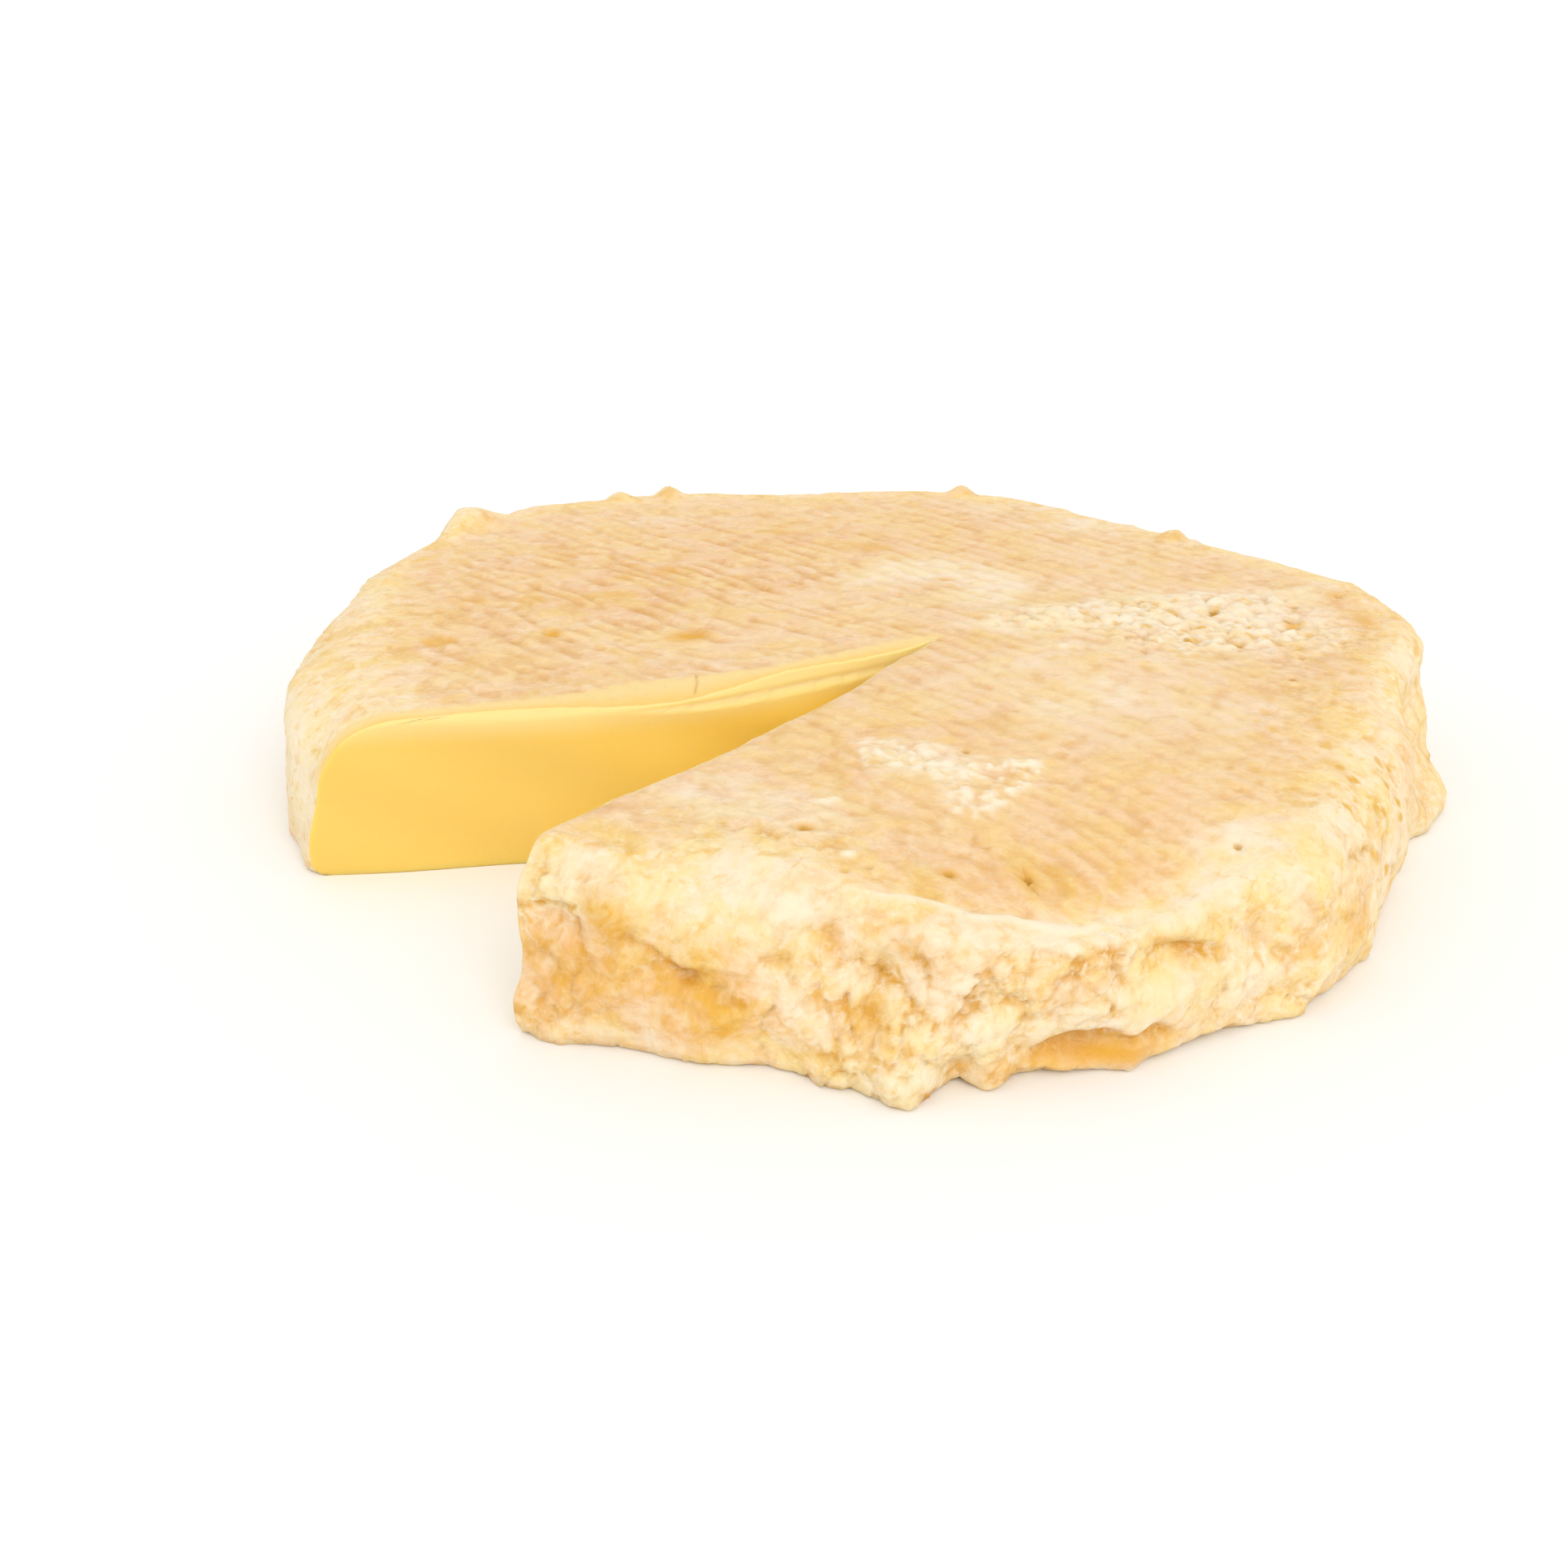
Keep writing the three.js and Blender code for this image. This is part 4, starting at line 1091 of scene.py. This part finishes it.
def paint(code):
    """An sRGB hex code as linear RGBA: c / 12.92 up to 0.04045, else ((c + 0.055) / 1.055)^2.4."""
    channels = np.array([int(code[i:i + 2], 16) for i in (1, 3, 5)]) / 255
    linear = np.where(channels <= 0.04045, channels / 12.92, ((channels + 0.055) / 1.055) ** 2.4)
    return (*linear, 1.0)


def add(tree, kind, inputs, output=0, **settings):
    """Adds a node with its settings, fills its inputs with numbers, colour codes or links, and
    gives the output that is asked for, if it has one."""
    made = tree.nodes.new("ShaderNode" + kind)
    for name, value in settings.items():
        setattr(made, name, value)
    for key, value in inputs.items():
        if isinstance(value, bpy.types.NodeSocket):
            tree.links.new(value, made.inputs[key])
        else:
            made.inputs[key].default_value = paint(value) if isinstance(value, str) else value
    return made.outputs[output] if len(made.outputs) else None


MM = 1000  # noise scale of one millimetre, because object coordinates are in metres

# The steps that materials are made of: (node, settings, inputs that a row's values fill, output).
NOISE = ("TexNoise", {}, ("Vector", "Scale", "Detail", "Roughness", "Distortion"), "Fac")
SWIRL = (*NOISE[:3], "Color")
CELLS = ("TexVoronoi", {"feature": "F1"}, ("Vector", "Scale"), "Distance")
CELL_EDGES = ("TexVoronoi", {"feature": "DISTANCE_TO_EDGE"}, ("Vector", "Scale"), "Distance")
SHIFT = ("VectorMath", {"operation": "MULTIPLY_ADD"}, (0, 1, 2), 0)  # way, reach, place
STRETCH = ("Mapping", {}, ("Vector", "Scale"), 0)
FADE = ("Mix", {}, (0, 2, 3), 0)  # share, first number, second number
BLEND = ("Mix", {"data_type": "RGBA"}, (0, 6, 7), 2)  # share, first colour, second colour
RAMP = ("MapRange", {}, ("Value", "From Min", "From Max", "To Min", "To Max"), 0)
PLUS = ("Math", {"operation": "ADD", "use_clamp": True}, (0, 1), 0)
TIMES = ("Math", {"operation": "MULTIPLY", "use_clamp": True}, (0, 1), 0)
BUMP = ("Bump", {}, ("Height", "Strength", "Distance", "Normal"), 0)
DENT = (BUMP[0], {"invert": True}, *BUMP[2:])


def material(name, tones, rows, shader):
    """A node material from the mesh's tones, rows of (name, step, values) and the shader's
    inputs. Each row adds one node. A value can be the name of an earlier row, of a tone, or of
    the place in object coordinates, and then it is linked."""
    made = bpy.data.materials.new(name)
    made.use_nodes = True
    tree = made.node_tree
    tree.nodes.clear()
    known = {"place": add(tree, "TexCoord", {}, "Object")}
    for tone in tones:
        known[tone] = add(tree, "Attribute", {}, "Fac", attribute_name=tone)
    for row, (kind, settings, keys, output), *values in rows:
        inputs = {key: known.get(value, value) for key, value in zip(keys, values)}
        known[row] = add(tree, kind, inputs, output, **settings)
    inputs = {key: known.get(value, value) for key, value in shader.items()}
    surface = add(tree, "BsdfPrincipled", inputs, subsurface_method="RANDOM_WALK")
    add(tree, "OutputMaterial", {"Surface": surface})
    return made


def washed_rind():
    """Washed rind, grown by bacteria and yeasts on the wheel and rubbed with brine: a thin soft
    skin that shows peach tan with a dusty cream bloom, darker where it folds in, partly its own
    deeper tan and partly painted shade, with painted shade also in its pinholes, cracks and foot,
    hardly glossy."""
    tones = "hollow mottled crusty pricked tan bloom tuft stain golden pit lip butter".split()
    patterns = [
        ("cloudy", NOISE, "place", MM / 3.2, 5.0, 0.6, 0.7),
        ("grain", NOISE, "place", MM / 1.2, 4.0, 0.6, 0.0),
        ("patch", NOISE, "place", MM / 10, 3.0, 0.6, 0.8),
        ("fleck", NOISE, "place", MM / 1.7, 3.0, 0.6, 0.5),
        ("mottle", FADE, "mottled", 0.5, "cloudy"),
        ("way", SWIRL, "place", MM / 4, 2.0, 0.6, 0.0),
        ("bent", SHIFT, "way", (3 / MM, 3 / MM, 3 / MM), "place"),
        ("crumb", CELLS, "bent", MM / 1.7),
        ("crack", CELL_EDGES, "bent", MM / 5.5),
        ("prick", CELLS, "bent", MM / 4.2),
    ]
    shares = [
        ("warm", RAMP, "patch", 0.4, 0.6),
        ("more tan", RAMP, "mottle", 0.3, 0.7, -0.25, 0.25),
        ("tanned", PLUS, "tan", "more tan"),
        ("more bloom", RAMP, "mottle", 0.7, 0.3, -0.25, 0.25),
        ("bloomed", PLUS, "bloom", "more bloom"),
        ("more fold", RAMP, "grain", 0.3, 0.7, -0.14, 0.14),
        ("fold", PLUS, "hollow", "more fold"),
        ("in crack", RAMP, "crack", 0.09, 0.0, 0.0, 0.75),
        ("unbroken", RAMP, "mottle", 0.5, 0.64),
        ("cracked", TIMES, "in crack", "unbroken"),
        ("vein", TIMES, "cracked", "crusty"),
        ("in prick", RAMP, "prick", 0.34, 0.16),
        ("pricks", TIMES, "in prick", "pricked"),
        ("sunk", PLUS, "vein", "pricks"),
        ("in fleck", RAMP, "fleck", 0.5, 0.64, 0.0, 0.7),
        ("not tan", RAMP, "tanned", 0.2, 0.9, 1.0, 0.3),
        ("flecks", TIMES, "in fleck", "not tan"),
        ("cream", TIMES, "flecks", "crusty"),
    ]
    colours = [
        ("peach", BLEND, "tanned", "#ebcea6", "#e1b587"),
        ("ripe peach", BLEND, "tanned", "#efd3a6", "#e3b276"),
        ("any peach", BLEND, "golden", "peach", "ripe peach"),
        ("gold", BLEND, "tanned", "#ebcd98", "#e1b874"),
        ("ripe gold", BLEND, "tanned", "#edd18e", "#dfab46"),
        ("any gold", BLEND, "golden", "gold", "ripe gold"),
        ("skin", BLEND, "warm", "any peach", "any gold"),
        # The groove colour in the fine hollows is partly the rind's darker tan and partly painted shade in
        # the folds, crevices and mat grooves.
        ("groove", BLEND, "golden", "#d29e5c", "#d19732"),
        ("folded", BLEND, "fold", "skin", "groove"),
        ("dust", BLEND, "warm", "#ebd9bd", "#ead6ac"),
        ("ripe dust", BLEND, "warm", "#ebdabd", "#ebd8aa"),
        ("any dust", BLEND, "golden", "dust", "ripe dust"),
        ("dusted", BLEND, "bloomed", "folded", "any dust"),
        ("flecked", BLEND, "cream", "dusted", "#eedfc2"),
        ("veined", BLEND, "sunk", "flecked", "#ddac4a"),
        ("tufted", BLEND, "tuft", "veined", "#efe1c6"),
        # the real stains and the painted shade at the foot of the side are both coloured deep gold here
        ("stained", BLEND, "stain", "tufted", "#dba234"),
        # The lip paste is pale cream at the rind and painted a deeper yellow as shade toward the cut face.
        ("lip paste", BLEND, "butter", "#e9cc8c", "#e9c06a"),
        ("lipped", BLEND, "lip", "stained", "lip paste"),
        # painted shade: the pinholes and cracks are painted dark gold
        ("colour", BLEND, "pit", "lipped", "#c2933a"),
    ]
    bumps = [
        ("crumbs", DENT, "crumb", 0.5, 0.3 / MM),
        ("veins", DENT, "sunk", 0.4, 0.2 / MM, "crumbs"),
        ("grains", BUMP, "grain", 0.5, 0.4 / MM, "veins"),
        ("soft lumps", BUMP, "mottle", 0.5, 0.6 / MM, "grains"),
    ]
    return material("washed rind", tones, patterns + shares + colours + bumps, {
        "Base Color": "colour", "Roughness": 0.6, "IOR": 1.45, "Specular IOR Level": 0.35,
        "Subsurface Weight": 0.1, "Subsurface Scale": 1 / MM, "Subsurface Radius": (1.6, 1.0, 0.5),
        "Normal": "soft lumps"})


def cut_paste():
    """Semi-soft cheese paste, cut by a wet knife: pale butter next to the rind, painted gold as shade
    lower down the face and a duller gold far out along the cut, smooth and a little moist, with the
    knife's faint level streaks, and light going some millimetres in."""
    rows = [
        ("streaks", STRETCH, "place", (0.12, 0.12, 1.0)),
        ("streak", NOISE, "streaks", MM / 2.4, 3.0, 0.55),
        ("cloud", NOISE, "place", MM / 14, 3.0, 0.5),
        ("curd", NOISE, "place", MM / 2.2, 4.0, 0.55),
        ("gold", BLEND, "cloud", "#f5d46e", "#f3cd56"),
        ("body", BLEND, "aired", "gold", "#ebc662"),
        # Painted shade: the paste is pale cream at the top of the cut face and gold lower down, as in the
        # shade of the gap.
        ("colour", BLEND, "deep", "#ecd28a", "body"),
        ("curds", BUMP, "curd", 0.25, 0.3 / MM),
        ("drawn", BUMP, "streak", 0.3, 0.4 / MM, "curds"),
    ]
    return material("cut butter-yellow paste", ("deep", "aired"), rows, {
        "Base Color": "colour", "Roughness": 0.45, "IOR": 1.45, "Specular IOR Level": 0.4,
        "Subsurface Weight": 0.5, "Subsurface Scale": 1 / MM, "Subsurface Radius": (3.4, 2.8, 0.8),
        "Normal": "drawn"})


def painted_board():
    """Matt white paint on a board: even and without gloss, so the floor stays quiet."""
    return material("matt white paint", (), (), {
        "Base Color": "#f2f1ee", "Roughness": 0.9, "Specular IOR Level": 0.1})


# ---------------- floor and light

FLOOR_RADIUS = 6000
WORLD_STRENGTH = 0.98
KEY_FROM = (160, -760, 640)
KEY_SPREAD = 42
KEY_STRENGTH = 1.1


def add_floor():
    """A large flat disc under the cheese: places (R cos a, R sin a, 0) round one polygon."""
    turn = np.linspace(0, 2 * np.pi, 96, endpoint=False)
    ring = np.stack([np.cos(turn), np.sin(turn), 0 * turn], -1) * FLOOR_RADIUS / 1000
    data = bpy.data.meshes.new("floor")
    data.from_pydata(ring.tolist(), [], [list(range(len(ring)))])
    data.materials.append(painted_board())
    floor = bpy.data.objects.new("floor", data)
    bpy.context.scene.collection.objects.link(floor)


def add_light():
    """Even white light from all round, and one broad soft key from high at the front right, as
    far away as a sun, so that the floor is lit evenly."""
    scene = bpy.context.scene
    scene.world = bpy.data.worlds.new("white studio")
    scene.world.use_nodes = True
    tree = scene.world.node_tree
    tree.nodes.clear()
    sky = add(tree, "Background", {"Color": "#ffffff", "Strength": WORLD_STRENGTH})
    add(tree, "OutputWorld", {"Surface": sky})
    data = bpy.data.lights.new("soft_key", "SUN")
    data.angle = radians(KEY_SPREAD)
    data.energy = KEY_STRENGTH
    lamp = bpy.data.objects.new("soft_key", data)
    lamp.location = metres(*KEY_FROM)
    x, y, z = KEY_FROM
    lamp.rotation_euler = (np.arctan2(np.hypot(x, y), z), 0, np.arctan2(x, -y))
    scene.collection.objects.link(lamp)
    scene.view_settings.view_transform = "Standard"


# ---------------- the scene

add_camera()
add_floor()
add_light()
cheese = cheese_object()
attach(cheese, "root")
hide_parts("cheese_wheel")
